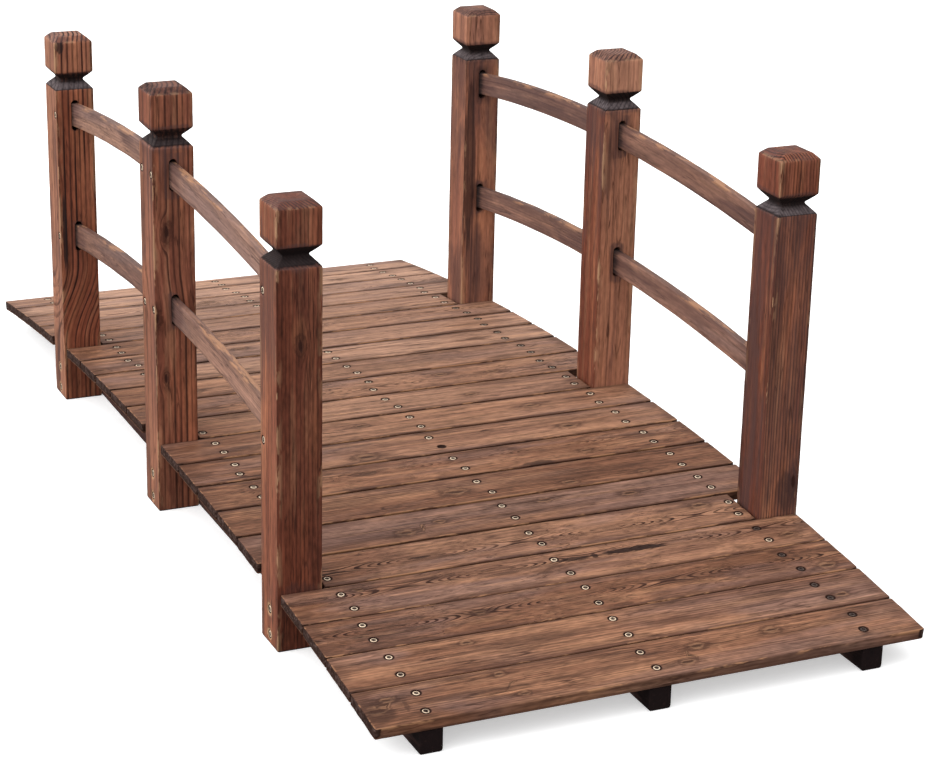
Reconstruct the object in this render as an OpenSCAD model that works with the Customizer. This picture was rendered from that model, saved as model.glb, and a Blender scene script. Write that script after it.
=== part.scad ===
// Moon bridge: a low garden bridge of stained boards on three arched stringers, with six capped
// posts and two arched rails in each railing bay.
// X runs along the bridge with the near end at +X, Y runs across it, Z is up.
// The origin is on the ground under the middle of the deck. Left is the -Y side.

/* [Bridge] */
// Width over the outer faces of the posts
bridge_w = 670; // [600:5:760]
// Height of the deck above the ground at mid-span
crown_h = 92; // [84:1:110]
// Radius of the arch that the deck follows, at its top
deck_r = 5820; // [5000:20:9000]

/* [Deck boards] */
// Width of one board, along the bridge
board_w = 70.5; // [64:0.5:76]
// Thickness of a board
board_t = 13; // [11:0.5:16]
// Gap between the boards from post to post
bay_gap = 4; // [2:0.5:6]
// Gap between the boards beyond the end posts
end_gap = 1; // [0.5:0.5:4]
// How far the boards' ends stop short of the posts' outer faces
board_inset = 2; // [0:0.5:8]
// Radius of a board's corners, seen from above
board_corner_r = 3; // [2:0.5:10]
// Radius of the eased top edges of a board
board_ease_r = 1.2; // [0.6:0.2:3]

/* [Posts] */
// Width of the square posts
post_w = 53.5; // [46:0.5:60]
// Height of a cap's eaves over the middle of the top rail, where the rail enters the post
eaves_over_rail = 101; // [90:1:150]
// Height of the block of the cap, from its eaves down to the neck
cap_block_h = 42.5; // [34:0.5:50]
// Rise of the hipped top over the eaves
hip_h = 7; // [4:0.5:14]
// Width that the hips take off each side of the top
hip_in = 8; // [5:0.5:14]
// Depth of the neck's groove, cut at 45 degrees
neck_in = 11; // [7:0.5:14]
// Height of the flat at the bottom of the neck's groove
neck_flat_h = 1.5; // [0.5:0.5:4]
// Chamfer along the upright edges of a post
post_ease = 1.2; // [0.6:0.2:2.4]

/* [Rails] */
// Height of a rail
rail_h = 32; // [26:1:40]
// Thickness of a rail
rail_t = 10; // [8:0.5:14]
// Radius of the arch that the rails follow, at their middle
rail_r = 3400; // [2800:20:6000]
// Height of the top rails' middle over the deck, at mid-span
rail_over_deck = 348; // [300:1:420]
// Distance from the top rails down to the low rails
rail_spacing = 173; // [120:1:200]
// Length of rail let into each post
tenon_l = 21; // [12:0.5:21]
// Chamfer along the edges of a rail
rail_ease = 1; // [0.4:0.2:1.6]

/* [Stringers] */
// Thickness of a stringer
stringer_t = 27; // [20:1:36]
// How far the stringers' ends stop short of the deck's ends
stringer_inset = 4; // [0:0.5:12]
// Chamfer along the lower edges of a stringer
stringer_ease = 3; // [1:0.5:6]

/* [Fits] */
// Gap at each seat between pieces that are screwed together
seat_gap = 0.1; // [0.05:0.05:0.3]
// Gap between a rail and each side of its mortise
mortise_side_gap = 0.25; // [0.1:0.05:0.5]
// Gap between the end of a rail and the bottom of its mortise
mortise_end_gap = 1; // [0.5:0.1:2]
// Gap between a post and the board in front of it
post_front_gap = 1; // [0.5:0.5:2]
// Gap between a post and the cut end of the board beside it
notch_gap = 3; // [1:0.5:6]

/* [Hidden] */
end_boards = 4;
bay_boards = 5;
board_count = 2 * end_boards + 2 * bay_boards + 3;
mid_board = (board_count + 1) / 2;
post_steps = bay_boards + 1;
bay_pitch = board_w + bay_gap;
end_pitch = board_w + end_gap;
arc_fn = 720;
round_fn = 48;

left = -1;
right = 1;
inner_y = bridge_w / 2 - post_w;
post_y = bridge_w / 2 - post_w / 2;
board_l = bridge_w - 2 * board_inset;
cut_board_l = 2 * (inner_y - notch_gap);

// How far board k lies from mid-span, measured along the arch; boards count from the near end
function steps(k) = mid_board - k;
function beyond_post(n) = (bay_pitch + end_pitch) / 2 + (n - post_steps - 1) * end_pitch;
function along_for(n) = min(n, post_steps) * bay_pitch + (n > post_steps ? beyond_post(n) : 0);
function along(k) = sign(steps(k)) * along_for(abs(steps(k)));
function tilt(k) = along(k) / deck_r * 180 / PI;

// Boards with a post behind them, and the boards beside the posts, which are cut short
near_board = end_boards;
middle_board = near_board + post_steps;
far_board = middle_board + post_steps;
function is_cut(k) = k == near_board + 1 || k == middle_board + 1 || k == far_board + 1;

// X of the back edge of board k and of the front and back faces of the post that stands there
function edge_r(k) = tilt(k) > 0 ? deck_r - board_t : deck_r;
function board_back_x(k) = edge_r(k) * sin(tilt(k)) - board_w / 2 * cos(tilt(k));
function front_x(k) = board_back_x(k) - post_front_gap;
function back_x(k) = front_x(k) - post_w;

deck_end_x = deck_r * sin(tilt(1)) + board_w / 2 * cos(tilt(1));
stringer_l = 2 * (deck_end_x - stringer_inset);
stringer_r = deck_r - board_t - seat_gap;
stringer_top = crown_h - board_t - seat_gap;

// Heights of the rails' middles at mid-span
top_rail_z = crown_h + rail_over_deck;
low_rail_z = top_rail_z - rail_spacing;

// Height of a rail's middle at x, for a rail whose middle is at crown_z at mid-span
function rail_z(x, crown_z) = crown_z - rail_r + sqrt(rail_r * rail_r - x * x);
function eaves_at(x) = rail_z(x, top_rail_z) + eaves_over_rail;
mortise_depth = tenon_l + mortise_end_gap;
mortise_r = rail_t / 2 + mortise_side_gap;

function two_digits(k) = str(k < 10 ? "0" : "", k);
function board_name(k) = str("deck_board_", two_digits(k));
board_names = [for (k = [1:board_count]) board_name(k)];
other_names = [
    "near_left_post", "mid_left_post", "far_left_post",
    "near_right_post", "mid_right_post", "far_right_post",
    "near_left_top_rail", "near_left_low_rail", "far_left_top_rail", "far_left_low_rail",
    "near_right_top_rail", "near_right_low_rail", "far_right_top_rail", "far_right_low_rail",
    "left_stringer", "middle_stringer", "right_stringer"
];

// A rectangle of w by l about the origin with round corners
module rounded_rect(w, l, r) {
    square([w - 2 * r, l], center = true);
    square([w, l - 2 * r], center = true);
    for (x = [-1, 1], y = [-1, 1])
        translate([x * (w / 2 - r), y * (l / 2 - r)])
            circle(r = r, $fn = round_fn);
}

// A board's section, w wide, with its top at zero and its two top edges eased
module eased_section(w) {
    translate([-w / 2, -board_t])
        square([w, board_t - board_ease_r]);
    translate([-w / 2 + board_ease_r, -board_t])
        square([w - 2 * board_ease_r, board_t]);
    for (x = [-1, 1])
        translate([x * (w / 2 - board_ease_r), -board_ease_r])
            circle(r = board_ease_r, $fn = round_fn);
}

// One deck board lying on the ground plane, with its top at zero
module flat_board(l, corner_r) {
    intersection() {
        translate([0, 0, -board_t])
            linear_extrude(board_t)
                rounded_rect(board_w, l, corner_r);
        rotate([90, 0, 0])
            linear_extrude(2 * l, center = true)
                eased_section(board_w);
        rotate([90, 0, 90])
            linear_extrude(2 * board_w, center = true)
                eased_section(l);
    }
}

// Moves a flat board to its place on the arch
module on_arch(k) {
    translate([0, 0, crown_h - deck_r])
        rotate([0, tilt(k), 0])
            translate([0, 0, deck_r])
                children();
}

// Board k of the deck; the boards beside the posts are shorter, with square corners
module deck_board(k) {
    color("rosybrown")
        on_arch(k)
            flat_board(is_cut(k) ? cut_board_l : board_l, is_cut(k) ? board_ease_r : board_corner_r);
}

// Half outline of a post up to its top, from which both side views are drawn
function post_half(eaves) = let (
    half = post_w / 2,
    block_z = eaves - cap_block_h,
    neck_top_z = block_z - neck_in,
    neck_low_z = neck_top_z - neck_flat_h,
    shoulder_z = neck_low_z - neck_in
) [
    [half, 0],
    [half, shoulder_z],
    [half - neck_in, neck_low_z],
    [half - neck_in, neck_top_z],
    [half, block_z],
    [half, eaves],
    [half - hip_in, eaves + hip_h]
];

function mirrored(points) = [for (i = [len(points) - 1:-1:0]) [-points[i][0], points[i][1]]];

module post_outline(eaves) {
    polygon(concat(post_half(eaves), mirrored(post_half(eaves))));
}

// The square of a post seen from above, with its corners chamfered
module post_plan() {
    intersection() {
        square(post_w, center = true);
        rotate(45)
            square((post_w - post_ease) * sqrt(2), center = true);
    }
}

// A whole post about its own axis: the cap and the neck are cut from the same timber
module capped_post(eaves) {
    intersection() {
        rotate([90, 0, 0])
            linear_extrude(2 * post_w, center = true)
                post_outline(eaves);
        rotate([90, 0, 90])
            linear_extrude(2 * post_w, center = true)
                post_outline(eaves);
        linear_extrude(eaves + hip_h)
            post_plan();
    }
}

// A round-ended slot for the end of a rail, cut into the face at face_x in the direction dir
module mortise(face_x, dir, crown_z) {
    tip_x = face_x + dir * tenon_l;
    mouth_z = rail_z(face_x, crown_z);
    tip_z = rail_z(tip_x, crown_z);
    round_z = rail_h / 2 - rail_ease + abs(mouth_z - tip_z) / 2;
    translate([face_x + dir * mortise_depth / 2, 0, (mouth_z + tip_z) / 2])
        rotate([90, 0, 90])
            linear_extrude(mortise_depth, center = true) {
                square([2 * mortise_r, 2 * round_z], center = true);
                for (z = [-1, 1])
                    translate([0, z * round_z])
                        circle(r = mortise_r, $fn = round_fn);
            }
}

// A post whose front face is behind board k, with mortises in the faces that look at a bay
module post(k, side, bay_in_front, bay_behind) {
    color("saddlebrown")
        translate([0, side * post_y, 0])
            difference() {
                translate([(front_x(k) + back_x(k)) / 2, 0, 0])
                    capped_post(eaves_at(bay_in_front ? front_x(k) : back_x(k)));
                for (crown_z = [top_rail_z, low_rail_z]) {
                    if (bay_in_front)
                        mortise(front_x(k), -1, crown_z);
                    if (bay_behind)
                        mortise(back_x(k), 1, crown_z);
                }
            }
}

module near_post(side) {
    post(near_board, side, false, true);
}

module mid_post(side) {
    post(middle_board, side, true, true);
}

module far_post(side) {
    post(far_board, side, true, false);
}

// A rail's section with chamfered edges
module rail_section() {
    intersection() {
        square([rail_h, rail_t], center = true);
        rotate(45)
            square((rail_h + rail_t - 2 * rail_ease) / sqrt(2), center = true);
    }
}

// A rail from x0 to x1, part of a large ring
module arched_rail(x0, x1, side, crown_z) {
    low_z = min(rail_z(x0, crown_z), rail_z(x1, crown_z)) - rail_h;
    color("tan")
        translate([0, side * post_y, 0])
            intersection() {
                translate([0, 0, crown_z - rail_r])
                    rotate([90, 0, 0])
                        rotate_extrude($fn = arc_fn)
                            translate([rail_r, 0])
                                rail_section();
                translate([x0, -rail_t, low_z])
                    cube([x1 - x0, 2 * rail_t, crown_z + rail_h - low_z]);
            }
}

module near_rail(side, crown_z) {
    arched_rail(front_x(middle_board) - tenon_l, back_x(near_board) + tenon_l, side, crown_z);
}

module far_rail(side, crown_z) {
    arched_rail(front_x(far_board) - tenon_l, back_x(middle_board) + tenon_l, side, crown_z);
}

// A stringer about y: flat on the ground, arched above, with its lower edges eased
module stringer(y) {
    color("dimgray")
        translate([0, y, 0])
            intersection() {
                rotate([90, 0, 0])
                    linear_extrude(stringer_t, center = true)
                        intersection() {
                            translate([0, stringer_top - stringer_r])
                                circle(r = stringer_r, $fn = arc_fn);
                            translate([-stringer_l / 2, 0])
                                square([stringer_l, crown_h]);
                        }
                rotate([90, 0, 90])
                    linear_extrude(stringer_l, center = true)
                        stringer_section();
            }
}

module stringer_section() {
    half = stringer_t / 2;
    polygon([
        [-half, crown_h],
        [-half, stringer_ease],
        [-half + stringer_ease, 0],
        [half - stringer_ease, 0],
        [half, stringer_ease],
        [half, crown_h]
    ]);
}

outer_stringer_y = inner_y - seat_gap - stringer_t / 2;

for (k = [1:board_count])
    deck_board(k);
near_post(left);  // near_left_post
mid_post(left);  // mid_left_post
far_post(left);  // far_left_post
near_post(right);  // near_right_post
mid_post(right);  // mid_right_post
far_post(right);  // far_right_post
near_rail(left, top_rail_z);  // near_left_top_rail
near_rail(left, low_rail_z);  // near_left_low_rail
far_rail(left, top_rail_z);  // far_left_top_rail
far_rail(left, low_rail_z);  // far_left_low_rail
near_rail(right, top_rail_z);  // near_right_top_rail
near_rail(right, low_rail_z);  // near_right_low_rail
far_rail(right, top_rail_z);  // far_right_top_rail
far_rail(right, low_rail_z);  // far_right_low_rail
stringer(-outer_stringer_y);  // left_stringer
stringer(0);  // middle_stringer
stringer(outer_stringer_y);  // right_stringer
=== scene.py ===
import math
import random
from collections import namedtuple

import bmesh
import bpy
from bpy.props import FloatProperty, FloatVectorProperty, PointerProperty
from mathutils import Matrix, Vector, noise
from mathutils.geometry import delaunay_2d_cdt


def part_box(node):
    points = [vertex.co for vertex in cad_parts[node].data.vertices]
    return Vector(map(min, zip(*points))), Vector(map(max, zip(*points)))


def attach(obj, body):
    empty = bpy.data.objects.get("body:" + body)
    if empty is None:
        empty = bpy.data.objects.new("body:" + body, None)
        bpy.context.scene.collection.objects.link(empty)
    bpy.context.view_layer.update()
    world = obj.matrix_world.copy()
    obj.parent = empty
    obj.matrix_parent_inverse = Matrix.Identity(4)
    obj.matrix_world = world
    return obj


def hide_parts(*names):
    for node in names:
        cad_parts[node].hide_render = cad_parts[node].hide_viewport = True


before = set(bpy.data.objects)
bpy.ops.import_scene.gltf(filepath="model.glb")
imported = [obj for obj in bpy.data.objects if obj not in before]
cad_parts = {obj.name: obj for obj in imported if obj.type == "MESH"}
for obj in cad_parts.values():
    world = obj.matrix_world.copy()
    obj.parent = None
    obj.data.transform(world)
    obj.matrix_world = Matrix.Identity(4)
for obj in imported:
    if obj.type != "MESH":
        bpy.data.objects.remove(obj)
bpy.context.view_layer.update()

bl_info = {
    "name": "Moon Bridge",
    "version": (1, 0, 0),
    "blender": (4, 5, 0),
    "location": "3D View > Sidebar > Moon Bridge",
    "description": "Dresses a low garden bridge in scorched and stained wood with its screws",
    "category": "Object",
}

# Sizes of the bridge in metres. X runs along it, Y across it, Z is up.
DECK_R = 5.82
CROWN_H = 0.092
BOARD_W = 0.0705
BOARD_T = 0.013
BAY_PITCH = BOARD_W + 0.004
END_PITCH = BOARD_W + 0.001
BOARDS = 21
MID_BOARD = 11
POST_STEPS = 6
CUT_BOARDS = (5, 11, 17)
POST_HALF = 0.02675
HIP_H, HIP_IN = 0.007, 0.008
BLOCK_H, NECK_IN, NECK_FLAT = 0.0425, 0.011, 0.0015
RAIL_R, RAIL_H, RAIL_T = 3.4, 0.032, 0.010
RAIL_TOP_Z, RAIL_LOW_Z = 0.440, 0.267
TENON, MORTISE_DEPTH, MORTISE_HALF_T = 0.021, 0.022, 0.00525
POST_Y = 0.30825
SCREW_ROWS_Y = (-0.267, 0.0, 0.265)
SCREW_PAIR_X = 0.0165
SCREW_R = 0.0038
SCREW_SUNK = 0.0004
FOOT_SCREWS_Z = (0.012, 0.043)
RAIL_SCREW_IN = 0.008
LOST_SCREW = ("middle", 9, 1)


# Helpers for shapes


def ripple(seed, x, y=0.0, z=0.0):
    """Smooth noise from -1 to 1 that is the same on every run."""
    return noise.noise(Vector((x + 17.3 * seed, y - 9.1 * seed, z + 3.7 * seed)))


def sink(seed, x, y=0.0, z=0.0):
    """Smooth noise from 0 to 1."""
    return min(1.0, max(0.0, 0.5 + 0.6 * ripple(seed, x, y, z)))


def ramp(x, low, high):
    """0 below low, 1 above high, smooth between them."""
    t = min(1.0, max(0.0, (x - low) / (high - low)))
    return t * t * (3 - 2 * t)


def new_piece(name, verts, faces, node=None, material=None):
    """Makes a mesh piece in the frame of the solids, hangs it on the root and hides the solid it stands in
    for.
    """
    mesh = bpy.data.meshes.new(name)
    mesh.from_pydata([tuple(v) for v in verts], [], faces)
    tidy = bmesh.new()
    tidy.from_mesh(mesh)
    bmesh.ops.recalc_face_normals(tidy, faces=tidy.faces)
    tidy.to_mesh(mesh)
    tidy.free()
    piece = bpy.data.objects.new(name, mesh)
    bpy.context.scene.collection.objects.link(piece)
    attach(piece, "root")
    if node:
        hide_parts(node)
    if material:
        mesh.materials.append(material)
    return piece


def smooth(piece, angle=38):
    """Smooth shading that stays sharp over edges steeper than the angle."""
    mesh = piece.data
    mesh.shade_smooth()
    mesh.set_sharp_from_angle(angle=math.radians(angle))


NO_SPOT = (9.0, 9.0, 0.0)


def write_attributes(piece, spacing, grain_of, marks_of, spots_of=None):
    """Stores what the wood materials read: the place in the timber, the marks and the nearest spots.

    ring is the width of a year ring. grain is (along, across, through) the timber from its pith. marks is
    (heat, arris, tone, figure): heat above 1 leaves ash, and figure is how strongly the year rings show.
    Heat also carries painted shade in the gaps between boards and round the screws, and tone carries
    painted light on the posts' faces and along the deck.
    knot and burn are the places from the nearest knot and the nearest burnt or pale spot in their own
    sizes, and how strong they are, below zero for a pale spot."""
    mesh = piece.data
    count = len(mesh.vertices)
    grain, marks, knots, burns = [], [], [], []
    for v in mesh.vertices:
        grain += grain_of(v)
        marks += marks_of(v)
        knot, burn = spots_of(v) if spots_of else (NO_SPOT, NO_SPOT)
        knots += knot
        burns += burn
    stored = (
        ("ring", "FLOAT", "value", [spacing] * count),
        ("grain", "FLOAT_VECTOR", "vector", grain),
        ("marks", "FLOAT_COLOR", "color", marks),
        ("knot", "FLOAT_VECTOR", "vector", knots),
        ("burn", "FLOAT_VECTOR", "vector", burns),
    )
    for name, kind, field, values in stored:
        mesh.attributes.new(name, kind, "POINT").data.foreach_set(field, values)


def nearest_knot(knots, along, across, pith):
    """The place from the nearest knot in knot radii, and 1 close to it, fading to 0.

    The last number is below zero where the pith lies on the knot's other side."""
    best, least = NO_SPOT, 1e9
    for at_along, at_across, size in knots:
        a, b = along - at_along, across - at_across
        d = math.hypot(a, b)
        if d < least:
            least = d
            side = 1 if at_across > pith else -1
            best = (a / size, b / size, side * (1 - ramp(d, 0.022, 0.034)))
    return best


def nearest_burn(burns, along, across):
    """The place from the nearest burnt spot in its half length and half width, and how burnt it is."""
    best, least = NO_SPOT, 1e9
    for at_along, at_across, half_long, half_wide, strength in burns:
        a, b = along - at_along, across - at_across
        beyond = max(0.0, abs(a) - half_long)
        d = math.hypot(beyond, b)
        if d < least:
            least = d
            fade = (1 - ramp(abs(b), 0.016, 0.024)) * (1 - ramp(beyond, 0.012, 0.020))
            best = (a / half_long, b / half_wide, strength * fade)
    return best


def circle(radius, steps):
    """Points round a circle, as pairs."""
    turns = [2 * math.pi * s / steps for s in range(steps)]
    return [(radius * math.cos(t), radius * math.sin(t)) for t in turns]


def quads_between(rings, count):
    """Faces from each closed ring of points to the next, for so many rings of count points."""
    faces = []
    for r in range(rings - 1):
        a, b = r * count, (r + 1) * count
        for i in range(count):
            j = (i + 1) % count
            faces.append((a + i, a + j, b + j, b + i))
    return faces


def loft(rings):
    """Quads from each closed ring of points to the next, with the first and last closed by a fan."""
    count = len(rings[0])
    verts = [p for ring in rings for p in ring]
    faces = quads_between(len(rings), count)
    for ring, first in ((rings[0], 0), (rings[-1], (len(rings) - 1) * count)):
        middle = len(verts)
        verts.append(sum((Vector(p) for p in ring), Vector()) / count)
        for i in range(count):
            faces.append((first + i, first + (i + 1) % count, middle))
    return verts, faces


def rounded_section(half_a, half_b, radii, along_a, along_b, arc=3):
    """Points round a rectangle, each with its outward direction and whether it is on a corner.

    radii are the corner radii from (+a, +b) on, counter-clockwise."""
    signs = ((1, 1), (-1, 1), (-1, -1), (1, -1))
    points = []
    for c, (sa, sb) in enumerate(signs):
        r = radii[c]
        ca, cb = sa * (half_a - r), sb * (half_b - r)
        start = math.atan2(sb, sa) - math.pi / 4
        for s in range(arc + 1):
            t = start + math.pi / 2 * s / arc
            points.append((ca + r * math.cos(t), cb + r * math.sin(t), math.cos(t), math.sin(t), 1.0))
        na, nb = signs[(c + 1) % 4]
        nr = radii[(c + 1) % 4]
        end_t = start + math.pi / 2
        ea = na * (half_a - nr) + nr * math.cos(end_t)
        eb = nb * (half_b - nr) + nr * math.sin(end_t)
        a0, b0 = points[-1][0], points[-1][1]
        steps = along_a if abs(math.sin(end_t)) > 0.5 else along_b
        for s in range(1, steps):
            f = s / steps
            points.append((a0 + (ea - a0) * f, b0 + (eb - b0) * f, math.cos(end_t), math.sin(end_t), 0.0))
    return points


def cut(piece, cutter):
    """Takes the cutter's shape out of the piece and removes the cutter."""
    step = piece.modifiers.new("cut", "BOOLEAN")
    step.operation = "DIFFERENCE"
    step.solver = "EXACT"
    step.object = cutter
    bpy.context.view_layer.update()
    shape = bpy.data.meshes.new_from_object(piece.evaluated_get(bpy.context.evaluated_depsgraph_get()))
    piece.modifiers.clear()
    old, piece.data = piece.data, shape
    shape.name = piece.name
    bpy.data.meshes.remove(old)
    tool = cutter.data
    bpy.data.objects.remove(cutter)
    bpy.data.meshes.remove(tool)


# Places of the pieces on the bridge


def board_along(k):
    """Distance of a board's middle from mid-span, along the arch."""
    steps = MID_BOARD - k
    n = abs(steps)
    along = min(n, POST_STEPS) * BAY_PITCH
    if n > POST_STEPS:
        along += (BAY_PITCH + END_PITCH) / 2 + (n - POST_STEPS - 1) * END_PITCH
    return math.copysign(along, steps)


def board_place(k):
    """Moves a board from a level one at the origin to its place on the arch."""
    tilt = board_along(k) / DECK_R
    return (
        Matrix.Translation((0, 0, CROWN_H - DECK_R))
        @ Matrix.Rotation(tilt, 4, "Y")
        @ Matrix.Translation((0, 0, DECK_R))
    )


def board_name(k):
    return f"deck_board_{k:02d}"


def board_half_length(k):
    low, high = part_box(board_name(k))
    return (high.y - low.y) / 2


def board_screws(k):
    """Places of a board's screws as (y, x), a pair over each stringer."""
    dice = random.Random(500 + k)
    places = []
    for y in SCREW_ROWS_Y:
        for x in (-SCREW_PAIR_X, SCREW_PAIR_X):
            places.append((y + dice.uniform(-0.004, 0.004), x + dice.uniform(-0.002, 0.002)))
    return places


def rail_z(x, crown):
    return crown - RAIL_R + math.sqrt(RAIL_R * RAIL_R - x * x)


SIDES = ("left", "right")
ROWS = ("left", "middle", "right")
POSTS = [f"{place}_{side}_post" for side in SIDES for place in ("near", "mid", "far")]
BAYS = [f"{place}_{side}" for side in SIDES for place in ("near", "far")]
RAILS = [f"{bay}_{level}_rail" for bay in BAYS for level in ("top", "low")]


def post_bay_faces(name):
    """The X faces of a post that look at a railing bay, each as (x, direction into the post)."""
    low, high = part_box(name)
    faces = []
    if not name.startswith("near"):
        faces.append((high.x, -1))
    if not name.startswith("far"):
        faces.append((low.x, 1))
    return faces


def post_screws(name):
    """Places of the screws in a post's outer face as (x, z)."""
    low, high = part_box(name)
    places = [((low.x + high.x) / 2, z) for z in FOOT_SCREWS_Z]
    for x, into in post_bay_faces(name):
        at_x = x + into * RAIL_SCREW_IN
        for crown in (RAIL_TOP_Z, RAIL_LOW_Z):
            places.append((at_x, rail_z(at_x, crown) + 0.001))
    return places


def deck_screw_places(row):
    """Matrices that put the screws of one row into the deck."""
    places = []
    for k in range(1, BOARDS + 1):
        for number, (y, x) in enumerate(board_screws(k)[2 * row : 2 * row + 2]):
            if (ROWS[row], k, number) != LOST_SCREW:
                places.append(board_place(k) @ Matrix.Translation((x, y, 0)))
    return places


def post_screw_places(side, out):
    """Matrices that put the screws into one side's posts, whose outer faces look along Y times out."""
    turn = Matrix.Rotation(-out * math.pi / 2, 4, "X")
    places = []
    for name in POSTS:
        if side in name:
            low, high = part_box(name)
            y = (high.y if out > 0 else low.y) - out * 0.0003
            places += [Matrix.Translation((x, y, z)) @ turn for x, z in post_screws(name)]
    return places


# The deck boards

# Knots that show, as board: places along it from its middle, across it, and their radii
BOARD_KNOTS = {
    1: (
        (-0.318, 0.004, 0.0075), (-0.300, -0.012, 0.0045), (-0.167, -0.023, 0.0042), (-0.156, 0.019, 0.0038),
        (0.065, -0.010, 0.0060), (0.040, 0.016, 0.0050), (0.162, -0.015, 0.0055),
    ),
    2: ((-0.175, -0.020, 0.0040), (0.280, 0.012, 0.0050)),
    3: ((-0.135, -0.003, 0.0040), (0.300, 0.020, 0.0060)),
    4: ((-0.245, -0.020, 0.0038), (0.295, 0.010, 0.0050)),
    5: ((0.229, -0.018, 0.0062),),
    6: ((-0.140, 0.014, 0.0068), (-0.091, -0.001, 0.0045), (0.054, -0.015, 0.0052), (0.164, -0.001, 0.0058)),
    7: ((-0.040, 0.004, 0.0080), (0.107, 0.022, 0.0050), (0.210, 0.022, 0.0045)),
    8: ((0.170, 0.014, 0.0045), (-0.120, -0.008, 0.0040)),
    9: ((-0.103, 0.018, 0.0080), (0.186, 0.007, 0.0065)),
    10: ((0.170, -0.002, 0.0055), (-0.070, -0.008, 0.0050)),
    11: ((0.115, 0.006, 0.0045),),
    12: ((0.108, -0.010, 0.0055), (0.180, 0.004, 0.0045)),
    13: ((-0.230, 0.010, 0.0060),),
    15: ((-0.108, -0.004, 0.0055), (-0.320, 0.020, 0.0070)),
    18: ((-0.285, 0.0, 0.0070),),
    19: ((-0.061, -0.004, 0.0055),),
    20: ((0.180, 0.004, 0.0050),),
}

# Burnt spots on boards: place along and across, half length, half width, and how burnt from 0 to 1, or
# below zero how pale the flame left the spot
BOARD_BURNS = {
    1: (
        (-0.322, 0.010, 0.022, 0.014, 0.60), (-0.215, 0.002, 0.055, 0.006, 0.45),
        (0.000, 0.016, 0.075, 0.011, -0.75), (0.150, -0.018, 0.060, 0.008, -0.45),
    ),
    2: (
        (-0.110, -0.004, 0.085, 0.010, 0.55), (0.197, -0.010, 0.034, 0.012, 0.42),
        (0.075, 0.006, 0.040, 0.005, 0.40), (-0.290, -0.022, 0.050, 0.006, -0.60),
    ),
    3: (
        (-0.215, 0.009, 0.018, 0.004, 0.45), (-0.135, -0.003, 0.014, 0.008, 0.55),
        (0.028, 0.029, 0.012, 0.004, 0.60), (0.140, -0.004, 0.045, 0.012, 0.35),
    ),
    4: (
        (0.020, -0.012, 0.022, 0.0048, 0.90), (0.100, -0.013, 0.046, 0.0060, 1.00),
        (-0.325, 0.014, 0.016, 0.010, 0.50), (-0.090, 0.020, 0.090, 0.010, -0.55),
    ),
    5: ((-0.147, 0.003, 0.014, 0.0032, 0.90), (0.010, 0.004, 0.030, 0.003, 0.45)),
    6: ((0.030, 0.010, 0.070, 0.010, 0.35),),
    7: ((0.120, 0.000, 0.100, 0.012, 0.40), (-0.200, -0.006, 0.060, 0.012, 0.35)),
    8: ((0.097, 0.031, 0.022, 0.006, 0.80), (-0.120, -0.008, 0.012, 0.005, 0.45)),
    9: ((0.002, 0.014, 0.0058, 0.0026, 1.00), (-0.318, 0.004, 0.020, 0.010, 0.55)),
    10: ((0.030, 0.020, 0.090, 0.010, 0.30),),
    15: ((0.260, 0.004, 0.050, 0.012, 0.45),),
}

# Boards cut near the pith, which shows as a band of small arches: its place across the board
PITH_BANDS = {3: -0.004, 4: -0.013, 5: 0.004, 8: -0.010, 12: 0.008, 16: -0.006, 19: 0.010}

# The sunk place round a screw: the radii of its rings of points, how many points each has, and how near
# the other points of the face may come to its middle
DIP_RINGS = (0.0068, 0.0057, 0.0051, 0.0045)
ROUND_STEPS = 18
DIP_CLEAR = 0.0092

# The other points of a board's face: their steps along and across, and their distance from its outline
GRID_ALONG, GRID_ACROSS = 0.0085, 0.0078
GRID_END, GRID_SIDE = 0.0095, 0.0085

# Corner radii of the boards, seen from above
CORNER, CUT_CORNER = 0.003, 0.0012


def board_grain(k, a, b, c):
    """A place in the timber of a board, from its pith, and how strongly the rings show there."""
    dice = random.Random(90 + k)
    if k in PITH_BANDS:
        aside = b - PITH_BANDS[k] - 0.0015 * math.sin(9 * a + k)
        depth = 0.0070 + 0.0065 * math.sin(27 * a + 1.7 * k)
        figure = 0.25 + (2.0 if k < 7 else 0.8) * math.exp(-((aside / 0.009) ** 2))
        return (a + 3.1 * k, 1.5 * aside, 1.5 * (c + depth)), figure
    across, through = dice.choice((-1, 1)) * dice.uniform(0.06, 0.13), dice.uniform(0.02, 0.06)
    return (a + 3.1 * k, b - across, c + through + 0.004 * a), dice.uniform(0.25, 0.75)


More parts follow.
